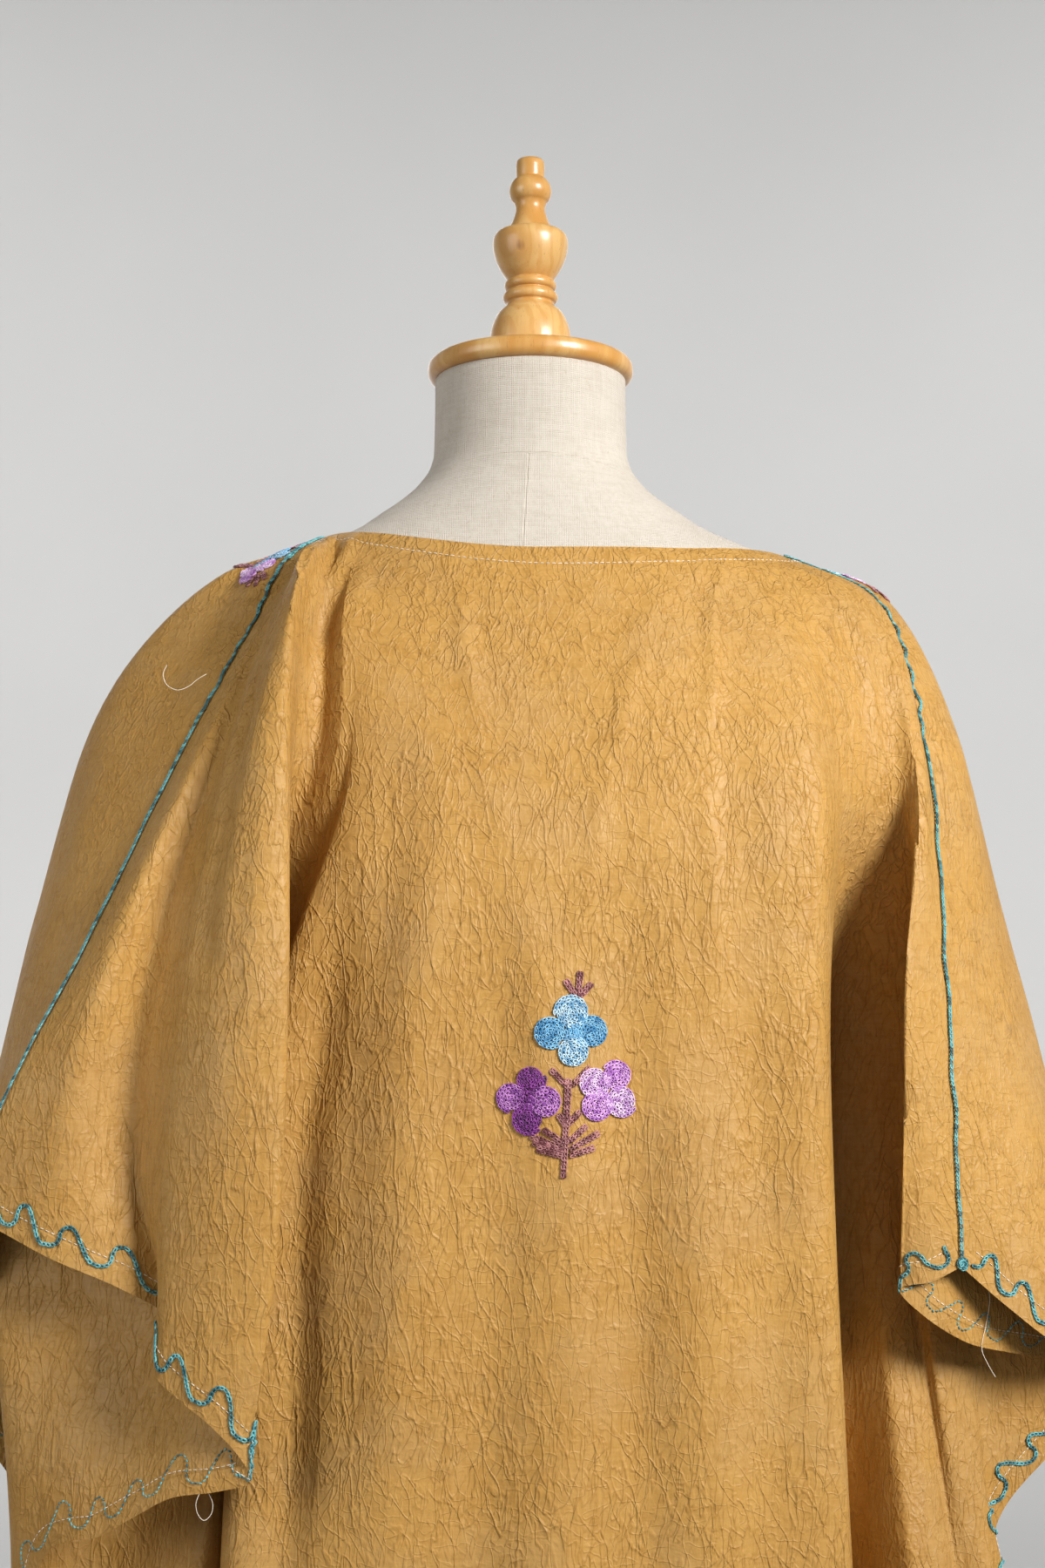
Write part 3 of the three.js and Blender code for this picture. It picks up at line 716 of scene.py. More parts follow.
# A material and the few ways its nodes are made.
class Finish:
    def __init__(self, name):
        self.material = bpy.data.materials.new(name)
        self.material.use_nodes = True
        self.tree = self.material.node_tree
        self.tree.nodes.clear()

    def node(self, kind, settings=None, inputs=None, output=0):
        made = self.tree.nodes.new(kind)
        for key, value in (settings or {}).items():
            setattr(made, key, value)
        for key, value in (inputs or {}).items():
            if isinstance(value, Wire):
                self.tree.links.new(value.socket, made.inputs[key])
            elif isinstance(value, tuple) and made.inputs[key].type == "RGBA":
                made.inputs[key].default_value = (*value, 1)
            else:
                made.inputs[key].default_value = value
        return Wire(self, made.outputs[output]) if made.outputs else None

    def vector(self, operation, a, b, output=0):
        second = "Scale" if operation == "SCALE" else 1
        return self.node("ShaderNodeVectorMath", {"operation": operation}, {0: a, second: b}, output)

    def parts(self, vector, count):
        return [self.node("ShaderNodeSeparateXYZ", None, {0: vector}, k) for k in range(count)]

    def place(self, scale=(1, 1, 1), turn=(0, 0, 0)):
        start = self.node("ShaderNodeTexCoord", output="Object")
        angles = tuple(math.radians(a) for a in turn)
        return self.node("ShaderNodeMapping", None, {"Vector": start, "Scale": scale, "Rotation": angles})

    def noise(self, vector, scale, detail=2.0, rough=0.5, output=0):
        values = {"Vector": vector, "Scale": scale, "Detail": detail, "Roughness": rough}
        return self.node("ShaderNodeTexNoise", None, values, output)

    def mix(self, share, a, b):
        settings = {"data_type": "RGBA", "blend_type": "MIX", "clamp_factor": True}
        return self.node("ShaderNodeMix", settings, {0: share, 6: a, 7: b}, 2)

    def bump(self, height, distance):
        return self.node("ShaderNodeBump", None, {"Height": height, "Distance": distance, "Strength": 1.0})

    def surface(self, colour, roughness, normal=None, more=None):
        inputs = {"Base Color": colour, "Roughness": roughness, **(more or {})}
        if normal:
            inputs["Normal"] = normal
        shader = self.node("ShaderNodeBsdfPrincipled", None, inputs)
        self.node("ShaderNodeOutputMaterial", None, {"Surface": shader})
        return self.material


silkLook = {
    "body": (0.470, 0.258, 0.066),
    # deep tone for the random mottling, and painted shade along the crease lines and in the bump's hollows
    "deepToneAndShade": (0.375, 0.190, 0.040),
    "pale": (0.600, 0.370, 0.125),
    "ash": (0.420, 0.262, 0.110),
    "stain": (0.24, 0.13, 0.05),
    "roughness": 0.47,
    "crinkle": 0.00052,       # how high the bump stands, in metres
    "hem": 0.0115,            # width of the turned edge, in metres
    "stitch": 0.0024,
    "wander": 0.0065,         # how far the creases stray from their lattice, in metres
    "lines": 0.66, "plates": 1.5, "small": 0.6, "doubled": 0.7, "sunk": 0.7, "pucker": 1.2,
}

# The crush creases: how long they run for their width, which way they lean, how many to the
# metre, how thin they are, and where the cloth shows them.
creaseSets = """
 long  lean  turn  many  thin  from  to   strong
 0.17    4    20    66    38   0.34  0.58  1.20
 0.26   22    40   100    31   0.60  0.42  0.90
 0.26  -25   -25   108    29   0.40  0.60  0.90
 0.60   80    10   114    29   0.56  0.40  0.50
 0.24   -6    70   180    22   0.30  0.56  0.85
"""


def silkFinish():
    kit = Finish("crushedSilk")
    base = kit.place()
    away = kit.vector("SUBTRACT", kit.noise(base, 44, output=1), (0.5, 0.5, 0.5))
    moved = kit.vector("ADD", base, kit.vector("SCALE", away, silkLook["wander"]))
    patches = [kit.noise(base, 17), kit.noise(kit.place(turn=(40, 20, 0)), 22)]
    lines = 0
    for k, (long, lean, turn, many, thin, low, high, strong) in enumerate(tableRows(creaseSets)):
        angles = (0, math.radians(lean), math.radians(turn))
        turned = kit.node("ShaderNodeVectorRotate", {"rotation_type": "EULER_XYZ"}, {
            "Vector": moved, "Rotation": angles})
        waves = kit.noise(kit.vector("MULTIPLY", turned, (1, 1, long)), many, 1.5)
        ridge = (1 - abs(waves - 0.5) * thin).ramp(0, 1)
        lines = ridge * patches[k % 2].ramp(low, high, 0.42, strong) + lines
    plates = kit.noise(moved, 110, 3, 0.62)
    small = kit.noise(kit.place((1, 1, 0.5)), 330, 3, 0.65)
    edges = kit.parts(kit.node("ShaderNodeUVMap", {"uv_map": "edge"}), 2)
    hem, stitch = silkLook["hem"], silkLook["stitch"]
    doubled, stitched = 0, 0
    for edge in edges:
        doubled = edge.ramp(hem + 0.0005, hem - 0.0008) + doubled
        stitched = abs(edge - hem).ramp(stitch, 0) + stitched
    pucker = kit.noise(base, 260, 1) * stitched
    height = lines * silkLook["lines"] + plates * silkLook["plates"] + small * silkLook["small"]
    height = height + doubled * silkLook["doubled"] - stitched * silkLook["sunk"]
    height = height + pucker * silkLook["pucker"]
    colour = kit.mix(kit.noise(base, 7).ramp(0.42, 0.62), silkLook["body"], silkLook["deepToneAndShade"])
    colour = kit.mix(0.55, colour, silkLook["body"])
    colour = kit.mix(patches[1].ramp(0.42, 0.64, 0, 0.30), colour, silkLook["ash"])
    # painted shade: darker along the crease lines that stand proud in the bump
    colour = kit.mix(lines.ramp(0.25, 1.2, 0, 0.40), colour, silkLook["deepToneAndShade"])
    # painted shade: darker where the plates noise sinks the bump lowest
    colour = kit.mix(plates.ramp(0.52, 0.34, 0, 0.40), colour, silkLook["deepToneAndShade"])
    slub = kit.noise(kit.place((1, 1, 0.06)), 520, 2, 0.6)
    weft = kit.noise(kit.place((0.1, 0.1, 1)), 640, 2, 0.6)
    colour = kit.mix((slub * 0.5 + weft * 0.5).ramp(0.44, 0.62, 0, 0.22), colour, silkLook["pale"])
    colour = kit.mix(kit.noise(base, 24, 2, 0.6).ramp(0.74, 0.80, 0, 0.3), colour, silkLook["stain"])
    roughness = small.ramp(0.3, 0.7, silkLook["roughness"] + 0.08, silkLook["roughness"] - 0.06)
    return kit.surface(colour, roughness, kit.bump(height, silkLook["crinkle"]), {
        "Specular IOR Level": 0.22, "Sheen Weight": 0.02,
        "Sheen Roughness": 0.35, "Sheen Tint": (1, 0.84, 0.55)})


linenLook = {
    "body": (0.625, 0.57, 0.50),
    "shade": (0.53, 0.468, 0.39),
    "fleck": (0.46, 0.37, 0.27),
    "seam": (0.60, 0.52, 0.42),
    "roughness": 0.85,
    "weave": 0.0006,
    "neckSeam": 1.4465,       # heights and places of the form's seams, in metres
    "neckTop": 1.4605,
    "spine": -0.003,
    "side": 0.004,
}


def linenFinish():
    kit = Finish("formLinen")
    base = kit.place()
    weave = [kit.node("ShaderNodeTexWave", {"bands_direction": way}, {
        "Vector": base, "Scale": 330, "Distortion": 2.2, "Detail": 2, "Detail Scale": 2}) for way in "ZX"]
    part, depth, high = kit.parts(base, 3)
    below = high.ramp(linenLook["neckTop"], linenLook["neckTop"] + 0.0007)
    ring = abs(high - (linenLook["neckSeam"] - depth * 0.25))
    spine = abs(part - linenLook["spine"] - (high - 1.43) * 0.06) + below + depth.ramp(-0.02, 0.0)
    side = abs(depth - linenLook["side"]) + below
    near = ring.least(spine).least(side)
    seam, pulled = near.ramp(0.0007, 0.0001), near.ramp(0.004, 0.0)
    fleck = kit.noise(kit.place((1, 1, 0.4)), 620).ramp(0.68, 0.74)
    slubs = [kit.noise(kit.place(stretch), 330, 3, 0.6) for stretch in ((0.2, 0.2, 2.0), (1.6, 1.6, 0.16))]
    slub = slubs[0] * 0.5 + slubs[1] * 0.5
    colour = kit.mix(slub.ramp(0.40, 0.64, 0, 0.6), linenLook["body"], linenLook["shade"])
    colour = kit.mix(kit.noise(base, 26, 3, 0.6).ramp(0.5, 0.8, 0, 0.25), colour, linenLook["shade"])
    colour = kit.mix(fleck * 0.6, colour, linenLook["fleck"])
    colour = kit.mix(seam * 0.35, colour, linenLook["seam"])
    height = weave[0] * 0.3 + weave[1] * 0.3 + slub * 0.9 - seam * 0.5 + pulled * 0.5
    return kit.surface(colour, linenLook["roughness"], kit.bump(height, linenLook["weave"]), {
        "Specular IOR Level": 0.25, "Sheen Weight": 0.1})


woodLook = {
    "pale": (0.66, 0.405, 0.150),
    "honey": (0.55, 0.27, 0.065),
    "dark": (0.22, 0.085, 0.025),
    "knot": (-0.003, -0.0225, 1.6035),      # place and size of the knot in the bowl, in metres
    "knotSize": 0.0085,
    "coat": 0.4,
}


def woodFinish():
    kit = Finish("honeyWood")
    base = kit.place()
    bent = kit.vector("ADD", base, kit.vector("SCALE", kit.noise(base, 30, output=1), 0.012))
    streak = kit.vector("MULTIPLY", bent, (1, 1, 0.10))
    grain = kit.noise(streak, 330, 3, 0.6)
    year = kit.node("ShaderNodeTexWave", {"wave_type": "BANDS", "bands_direction": "DIAGONAL"}, {
        "Vector": streak, "Scale": 60, "Distortion": 6, "Detail": 2, "Detail Scale": 1.2})
    pores = kit.noise(kit.place((1, 1, 0.12)), 900, 2, 0.6)
    away = kit.vector("DISTANCE", bent, woodLook["knot"], 1)
    knot = (away + grain * 0.003 - woodLook["knotSize"]).ramp(0.003, 0.0008)
    halo = (away - woodLook["knotSize"]).ramp(0.010, 0.002, 0, 0.6)
    colour = kit.mix(kit.noise(streak, 55).ramp(0.38, 0.66), woodLook["pale"], woodLook["honey"])
    colour = kit.mix(year.ramp(0.55, 0.95, 0, 0.45), colour, woodLook["honey"])
    colour = kit.mix(grain.ramp(0.50, 0.72, 0, 0.35), colour, woodLook["honey"])
    colour = kit.mix(pores.ramp(0.62, 0.74, 0, 0.35), colour, woodLook["dark"])
    colour = kit.mix(halo, colour, woodLook["honey"])
    colour = kit.mix(knot * 0.85, colour, woodLook["dark"])
    height = grain * 0.4 + pores * 0.3
    return kit.surface(colour, grain.ramp(0.4, 0.7, 0.34, 0.46), kit.bump(height, 0.0002), {
        "Coat Weight": woodLook["coat"], "Coat Roughness": 0.20, "Specular IOR Level": 0.45})


silk, linen, wood = silkFinish(), linenFinish(), woodFinish()
for piece in (backCloth, frontCloth):
    piece.data.materials.append(silk)
formTorso.data.materials.append(linen)
for piece in (neckCap, finial, standPole, standFoot):
    piece.data.materials.append(wood)
print("finishes made")


# A strip of cloth walked inward from an edge, for what is sewn along that edge. At each step
# it follows the cloth, and a place where the walk would jump stays where it is.
class Strip:
    def __init__(self, sheet, a, b, inward, depth, step=1.5):
        grid = sheet.grid
        run = runAlong(sampled(grid, a, b))
        self.end, self.step = run[-1], step
        s = np.arange(0, run[-1], 1.0)
        a, b = np.interp(s, run, a), np.interp(s, run, b)
        along = unit(np.gradient(sampled(grid, a, b), axis=0))
        places, normals = [], []
        way = None
        for k in range(int(depth / step) + 1):
            places.append(sampled(grid, a, b))
            normals.append(unit(sampled(sheet.normal, a, b)))
            a0, a1 = held(grid, a - 0.5, 0), held(grid, a + 0.5, 0)
            b0, b1 = held(grid, b - 0.5, 1), held(grid, b + 0.5, 1)
            pu = (sampled(grid, a1, b) - sampled(grid, a0, b)) / (a1 - a0)[:, None]
            pv = (sampled(grid, a, b1) - sampled(grid, a, b0)) / (b1 - b0)[:, None]
            up = unit(np.cross(pu, pv))
            if way is None:
                way = unit(np.cross(up, along))
                way *= np.sign((way * (inward[0] * pu + inward[1] * pv)).sum(-1, keepdims=True))
            way = unit(way - up * (way * up).sum(-1, keepdims=True))
            e, f, g = (pu * pu).sum(-1), (pu * pv).sum(-1), (pv * pv).sum(-1)
            r1, r2 = (pu * way).sum(-1), (pv * way).sum(-1)
            det = np.maximum(e * g - f * f, 1e-9)
            nextA = held(grid, a + step * (g * r1 - f * r2) / det, 0)
            nextB = held(grid, b + step * (e * r2 - f * r1) / det, 1)
            sound = length(sampled(grid, nextA, nextB) - places[-1])[:, 0] < 2 * step
            a, b = np.where(sound, nextA, a), np.where(sound, nextB, b)
        self.places, self.normals = np.array(places), np.array(normals)

    def at(self, s, d):
        row = d / self.step
        return sampled(self.places, row, s), unit(sampled(self.normals, row, s))


# Rings of points round a line, the line's way at each point given.
def tubePoints(middle, ahead, radius, sides, lean, first=0.0):
    across = unit(np.cross(ahead, lean))
    above = np.cross(across, ahead)
    angle = (np.arange(sides) + first) / sides * 2 * math.pi
    c, s = np.cos(angle)[None, :, None], np.sin(angle)[None, :, None]
    return (middle[:, None] + radius * (across[:, None] * c + above[:, None] * s)).reshape(-1, 3)


# One stitch, lying along X with Y across it and Z out of the cloth.
def chainLoop(pitch, wide, thread, around=8, sides=4):
    t = np.arange(around) / around * 2 * math.pi
    x = pitch * (0.58 - 0.66 * np.cos(t))
    y = (wide - thread) / 2 * np.sin(t) * (1 - 0.18 * np.cos(t))
    z = thread * (0.55 - 0.28 * np.cos(t))
    middle = np.stack([x, y, z], -1)
    ahead = unit(np.roll(middle, -1, 0) - np.roll(middle, 1, 0))
    points = tubePoints(middle, ahead, thread / 2, sides, (0, 0, 1), 0.5)
    return points, ringFaces(around + 1, sides) % (around * sides)


# A short straight stitch, thin at both ends.
def dash(long, wide, thick, sides=4):
    angle = (np.arange(sides) + 0.5) / sides * 2 * math.pi
    points = []
    for x, r in ((-0.5, 0.25), (-0.36, 0.85), (0, 1), (0.36, 0.85), (0.5, 0.25)):
        for a in angle:
            high = thick * (0.35 + 0.5 * math.sin(a) * r) - abs(x) * thick * 0.7
            points.append([x * long, math.cos(a) * wide / 2 * r, high])
    last = len(points) - sides
    ends = [[0, 3, 2, 1], [last, last + 1, last + 2, last + 3]]
    return np.array(points), np.concatenate([ringFaces(len(points) // sides, sides), ends])


# A field along a line, read at stops measured along it.
def readAt(field, run, stops):
    return np.stack([np.interp(stops, run, field[:, k]) for k in range(3)], -1)


# Stitches gathered into one mesh, each laid on the cloth and turned the way it is sewn.
class Needlework:
    longestGap = 8        # where a line of stitches jumps further than this, it breaks off

    def __init__(self):
        self.points, self.faces, self.uv, self.tone, self.count = [], [], [], [], 0

    def add(self, points, faces, uv, tone):
        self.points.append(points)
        self.faces.append(faces + self.count)
        self.uv.append(uv)
        self.tone.append(np.full(len(faces), tone))
        self.count += len(points)

    def stitch(self, shape, places, normals, ahead, tone, jitter):
        points, faces = shape
        n, m = len(places), len(points)
        if not n:
            return
        ahead = unit(ahead - normals * (ahead * normals).sum(-1, keepdims=True))
        across = np.cross(normals, ahead)
        grow = 1 + jitter * (dice.random((n, 1, 1)) - 0.5)
        made = (places[:, None] + ahead[:, None] * points[None, :, 0:1]
                + across[:, None] * points[None, :, 1:2] * grow
                + normals[:, None] * points[None, :, 2:3] * grow)
        repeated = faces[None] + (np.arange(n) * m)[:, None, None]
        shade = np.repeat(dice.random(n), m)
        lie = np.tile(points[:, 0] / max(np.ptp(points[:, 0]), 1e-6), n)
        self.add(made.reshape(-1, 3), repeated.reshape(-1, 4), np.stack([shade, lie], -1), tone)

    def run(self, shape, pitch, places, normals, tone=0, jitter=0.3, lift=0.2):
        run = runAlong(places)
        gaps = np.diff(run, append=run[-1])
        stops = np.arange(0, max(run[-1] - pitch * 0.5, 0.01), pitch)
        stops = stops[gaps[np.searchsorted(run, stops, "right") - 1] < self.longestGap]
        here, there = readAt(places, run, stops), readAt(places, run, stops + pitch)
        normal = unit(readAt(normals, run, stops))
        self.stitch(shape, here + normal * lift, normal, there - here, tone, jitter)

    def piece(self, name, materials):
        points, faces = np.concatenate(self.points), np.concatenate(self.faces)
        piece = newPiece(name, points, [faces])
        addUv(piece, "thread", np.concatenate(self.uv))
        for material in materials:
            piece.data.materials.append(material)
        piece.data.polygons.foreach_set("material_index", np.concatenate(self.tone))


def hexTone(text):
    channels = [int(text[k:k + 2], 16) / 255 for k in (0, 2, 4)]
    return tuple(c / 12.92 if c < 0.04 else ((c + 0.055) / 1.055) ** 2.4 for c in channels)


def threadFinish(name, dark, light):
    kit = Finish(name)
    shade, lie = kit.parts(kit.node("ShaderNodeUVMap", {"uv_map": "thread"}), 2)
    strands = kit.noise(kit.place(), 1600, 2, 0.6)
    colour = kit.mix((shade * 0.75 + strands * 0.5).ramp(0.25, 0.95), hexTone(dark), hexTone(light))
    height = abs((lie * 5 + shade * 3) - 2) * 0.1 + strands
    return kit.surface(colour, 0.38, kit.bump(height, 0.0003), {
        "Specular IOR Level": 0.5, "Sheen Weight": 0.25})


# The threads, each from its dark to its light side.
threads = {
    "teal": ("0f5c66", "6dbac0"),
    "rose": ("6a2c36", "b67a7c"),
    "skyBlue": ("5f9fca", "c3e2f4"),
    "blue": ("2b7fb4", "7fc0e6"),
    "plum": ("560a62", "923a9e"),
    "violet": ("84389a", "c988d2"),
    "lilac": ("b27ac4", "ecd0f2"),
    "orchid": ("a460ba", "dda9e4"),
    "cream": ("d8cdb8", "f6efe2"),
}
tones = list(threads)
teal, rose, cream = (tones.index(name) for name in ("teal", "rose", "cream"))
yarn = [threadFinish(name + "Thread", *pair) for name, pair in threads.items()]
chain = {"pitch": 2.35, "wide": 2.5, "thread": 0.95}
chainShape = chainLoop(chain["pitch"], chain["wide"], chain["thread"])

# One wave of the border: how far along it and how far in from the edge.
waveShape = """
 along high
 0.00 0.00
 0.13 0.08
 0.20 0.32
 0.17 0.60
 0.20 0.88
 0.31 1.00
 0.43 0.88
 0.60 0.54
 0.76 0.20
 0.89 0.02
"""
border = {
    "period": 27,
    "periodFrom": 0.86, "periodBy": 0.3,      # how much one wave differs from the next
    "rise": 13.5,
    "riseFrom": 0.82, "riseBy": 0.28,
    "from": 5.2,              # from the free edge to the foot of the waves
    "drift": 1.6,
    "depth": 24,
}


# The border's line as pairs of how far along the edge and how far in from it.
def waveRun(end, start=4.0):
    table = readTable(waveShape)
    knots, s = [], start
    while s < end - 6:
        period = border["period"] * (border["periodFrom"] + border["periodBy"] * dice.random())
        rise = border["rise"] * (border["riseFrom"] + border["riseBy"] * dice.random())
        base = border["from"] + border["drift"] * (dice.random() - 0.5)
        knots += [(s + period * a, base + rise * h) for a, h in zip(table["along"], table["high"])]
        s += period
    knots = np.array([(a, h, 0) for a, h in knots if a < end - 3])
    places = [i + j / 6 for i in range(len(knots) - 1) for j in range(6)]
    return splineAt(knots, places)[:, :2]


# The free edges, each walked the way the border was sewn.
def freeEdges(sheet):
    left, right = sheet.column("cornerL"), sheet.column("cornerR")
    edges = [np.linspace(a, b, (b - a) * 2) for a, b in ((0, left), (right, sheet.nu - 1))]
    if sheet.out > 0:
        edges = [edge[::-1] for edge in edges[::-1]]
    last = sheet.nv - 1.0
    return [Strip(sheet, edge, np.full(len(edge), last), (0, -1), border["depth"]) for edge in edges]


topstitch = {"in": 11.5, "neckIn": 10.8, "pitch": 3.3, "neckPitch": 3.4, "neckDepth": 14, "every": 1.5}
stitchDash = dash(2.3, 0.55, 0.45)
reverseDash = dash(1.9, 1.15, 0.7)
for name, sheet in (("Back", backSheet), ("Front", frontSheet)):
    outside, inside, sewn = Needlework(), Needlework(), Needlework()
    for strip in freeEdges(sheet):
        wave = waveRun(strip.end)
        places, normals = strip.at(wave[:, 0], wave[:, 1])
        outside.run(chainShape, chain["pitch"], places, normals, jitter=0.25, lift=0.25)
        inside.run(reverseDash, 2.5, places, -normals)
        s = np.arange(3, strip.end - 3, topstitch["every"])
        places, normals = strip.at(s, topstitch["in"] + 0.5 * np.sin(s / 37) + 0.25 * np.sin(s / 7.3))
        for face in (normals, -normals):
            sewn.run(stitchDash, topstitch["pitch"], places, face)
    neckRun = np.arange(0.0, sheet.nu - 1, 0.5)
    neckStrip = Strip(sheet, neckRun, np.zeros(len(neckRun)), (0, 1), topstitch["neckDepth"])
    s = np.arange(2, neckStrip.end - 2, topstitch["every"])
    places, normals = neckStrip.at(s, topstitch["neckIn"] + 0.35 * np.sin(s / 23))
    sewn.run(stitchDash, topstitch["neckPitch"], places, normals, lift=0.15)
    outside.piece("border" + name, [yarn[teal]])
    inside.piece("borderReverse" + name, [yarn[teal]])
    sewn.piece("topstitch" + name, [yarn[cream]])
print("borders sewn")

shoulderSeam = {
    "every": 1.5,
    "lift": 0.9,
    "sides": ((0, 0.35, 38), (-1, 0.8, 6)),      # column, wobble, how far the seam is sewn in rows
    "rows": (-1.5, 1.5),
    "knot": 3.4,
}


# The line of a shoulder seam, between both panels' edges.
def seamRun(column, wobble):
    places = (backSheet.grid[column] + frontSheet.grid[column]) / 2
    normals = unit(backSheet.normal[column] + frontSheet.normal[column])
    whole = runAlong(places)
    run = np.arange(0, whole[-1], shoulderSeam["every"])
    places, normals = readAt(places, whole, run), readAt(normals, whole, run)
    ahead = unit(np.gradient(places, axis=0))
    across = np.cross(unit(normals), ahead)
    slow = np.sin(run / 9.5) + 0.6 * np.sin(run / 5.3 + 1)
    quick = np.sin(run / 2.55 + 0.9 * np.sin(run / 13))
    sway = slow * smooth(20, 120, run) * smooth(0, 60, run[-1] - run)
    sway = wobble * (sway + 2.6 * quick * smooth(35, 60, run) * smooth(175, 130, run))
    return places + across * sway[:, None], normals, run


shoulders = Needlework()
for column, wobble, headEnd in shoulderSeam["sides"]:
    places, normals, run = seamRun(column, wobble)
    shoulders.run(chainShape, chain["pitch"], places, normals, teal, 0.25, shoulderSeam["lift"])
    head = run < headEnd
    ahead = unit(np.gradient(places, axis=0))
    for shift in shoulderSeam["rows"]:
        row = places + np.cross(normals, ahead) * shift
        shoulders.run(chainShape, chain["pitch"], row[head], normals[head], teal, 0.25, 0.4)
    foot, up, way = places[-1], normals[-1], ahead[-1]
    turns = np.linspace(0, 6 * math.pi, 60)[:, None]
    size = shoulderSeam["knot"] * (1 - turns / turns[-1])
    coil = size * (way * np.cos(turns) + np.cross(up, way) * np.sin(turns)) + up * (turns / 14)
    knot = foot - way * 1.5 + coil
    shoulders.run(chainShape, chain["pitch"], knot, np.repeat(up[None], len(knot), 0), teal, 0.3, 0.5)
shoulders.piece("shoulderSeams", yarn)
print("shoulder seams sewn")

# Petals and strokes of the sprig, in its own units of 0.46 mm: x to the right, y down.
petals = """
 tone     x     y     r
 blue     0.6 -45.0  9.0
 blue   -23.4 -44.0 18.5
 blue    23.6 -44.4 19.5
 skyBlue  0.6 -66.5 20.0
 skyBlue  1.5 -22.5 18.5
 plum   -47.0  31.0 13.0
 plum   -45.0   9.6 17.0
 plum   -48.5  53.0 18.5
 violet -67.4  29.5 17.0
 violet -29.0  34.5 18.5
 orchid  51.8   5.5 17.5
 orchid  28.3  38.5 18.5
 lilac   26.5  12.4 18.5
 lilac   57.3  34.0 18.5
"""
strokes = """
 x1     y1    x2    y2  rows
 -2.2  -5.0  -8.7 117.0  2
 -6.9 -105.0  4.0 -87.0  2
 11.6 -116.0  8.8 -86.0  2
 25.5 -101.3 12.0 -85.0  2
 -24.4 -4.3  -6.0  15.0  2
 24.6  -7.0   0.5  17.0  2
 -15.2 46.5  -6.0  61.0  2
 12.5  42.8  -4.0  59.5  2
 20.0  58.5  -3.0  79.0  2
 35.6  66.9  -1.0  87.0  2
 29.2  84.4  -1.0  93.8  2
 -50.3 70.6 -11.5  85.0  2
 -33.7 63.2 -10.0  79.0  2
 -46.8 78.0 -11.5  89.0  2
 -41.8 86.0 -11.5  94.0  2
"""
sprig = {"x": 20.5, "z": 1108, "unit": 0.462, "row": 1.85, "pitch": 2.2, "wide": 2.2, "thread": 0.85}


# Rays are sent at the kaftan's back: from where, what a ray that misses stands for, and the
# boxes that hold the cloth they can meet.
rays = {
    "from": -400,
    "missed": -150,
    "sprigBox": ((-60, -200, 1000), (110, -90, 1220)),
    "shoulderBox": ((-300, -250, 1200), (-120, 60, 1450)),
}


# The sheet's faces inside a box, as a tree that rays can meet.
def meshTree(sheet, low, high):
    faces = gridFaces(sheet.nu, sheet.nv)
    flat = sheet.grid.reshape(-1, 3)
    middle = flat[faces[:, 0]]
    near = ((middle > np.array(low)) & (middle < np.array(high))).all(-1)
    used, small = np.unique(faces[near], return_inverse=True)
    return BVHTree.FromPolygons(flat[used].tolist(), small.reshape(-1, 4).tolist())


def rayHit(tree, x, z):
    return tree.ray_cast(Vector((x, rays["from"], z)), Vector((0, 1, 0)))[:2]


backTree = meshTree(backSheet, *rays["sprigBox"])


# Lays the back sprig's flat path on the cloth, with the cloth's normals eased along it.
def dropOnBack(path):
    places, normals = [], []
    for x, z in path * (1, -1) + (sprig["x"], sprig["z"]):
        hit, normal = rayHit(backTree, x, z)
        if hit is None:
            hit, normal = Vector((x, rays["missed"], z)), Vector((0, -1, 0))
        places.append(hit)
        normals.append(normal if normal.y < 0 else -normal)
    near = np.pad(np.array(normals), ((2, 2), (0, 0)), "edge")
    return np.array(places), unit(near[:-4] + near[1:-3] + near[2:-2] + near[3:-1] + near[4:])


# A petal's path, wound in from its edge.
def spiral(radius, turn):
    rounds = radius / sprig["row"]
    t = np.linspace(0, rounds * 2 * math.pi, int(rounds * 26) + 8)
    size = radius * (1 - t / t[-1]) + 0.25
    return np.stack([size * np.cos(t + turn), size * np.sin(t + turn)], -1)


# A stroke as rows of stitches that lie side by side.
def strokeRows(x1, y1, x2, y2, rows):
    way = np.array([x2 - x1, y2 - y1])
    long = np.hypot(*way)
    way = way / long
    side = np.array([-way[1], way[0]])
    for k in range(int(rows)):
        shift = (k - (rows - 1) / 2) * sprig["row"]
        t = np.linspace(0.12 * abs(shift), 1, max(int(long), 4))
        narrow = np.interp(t, [0, 0.25, 1], [0.75, 1.0, 0.7])
        yield np.array([x1, y1]) + np.outer(t * long, way) + np.outer(shift * narrow, side)


sprigLoop = chainLoop(sprig["pitch"], sprig["wide"], sprig["thread"])


# Strokes first, then the petals over them; lay takes a flat path to places on the cloth.
def sewSprig(name, strokeText, petalText, size, lay):
    work = Needlework()
    for *ends, rows in tableRows(strokeText):
        for path in strokeRows(*(end * size for end in ends), rows):
            work.run(sprigLoop, sprig["pitch"], *lay(path), rose, 0.3, 0.15)
    for order, (tone, x, y, r) in enumerate(tableRows(petalText)):
        path = spiral(r * size - sprig["wide"] / 4, order) + (x * size, y * size)
        work.run(sprigLoop, sprig["pitch"], *lay(path), tones.index(tone), 0.3, 0.35 + 0.12 * (order % 2))
    work.piece(name, yarn)


sewSprig("flowerSprig", strokes, petals, sprig["unit"], dropOnBack)
print("flower sprig sewn")

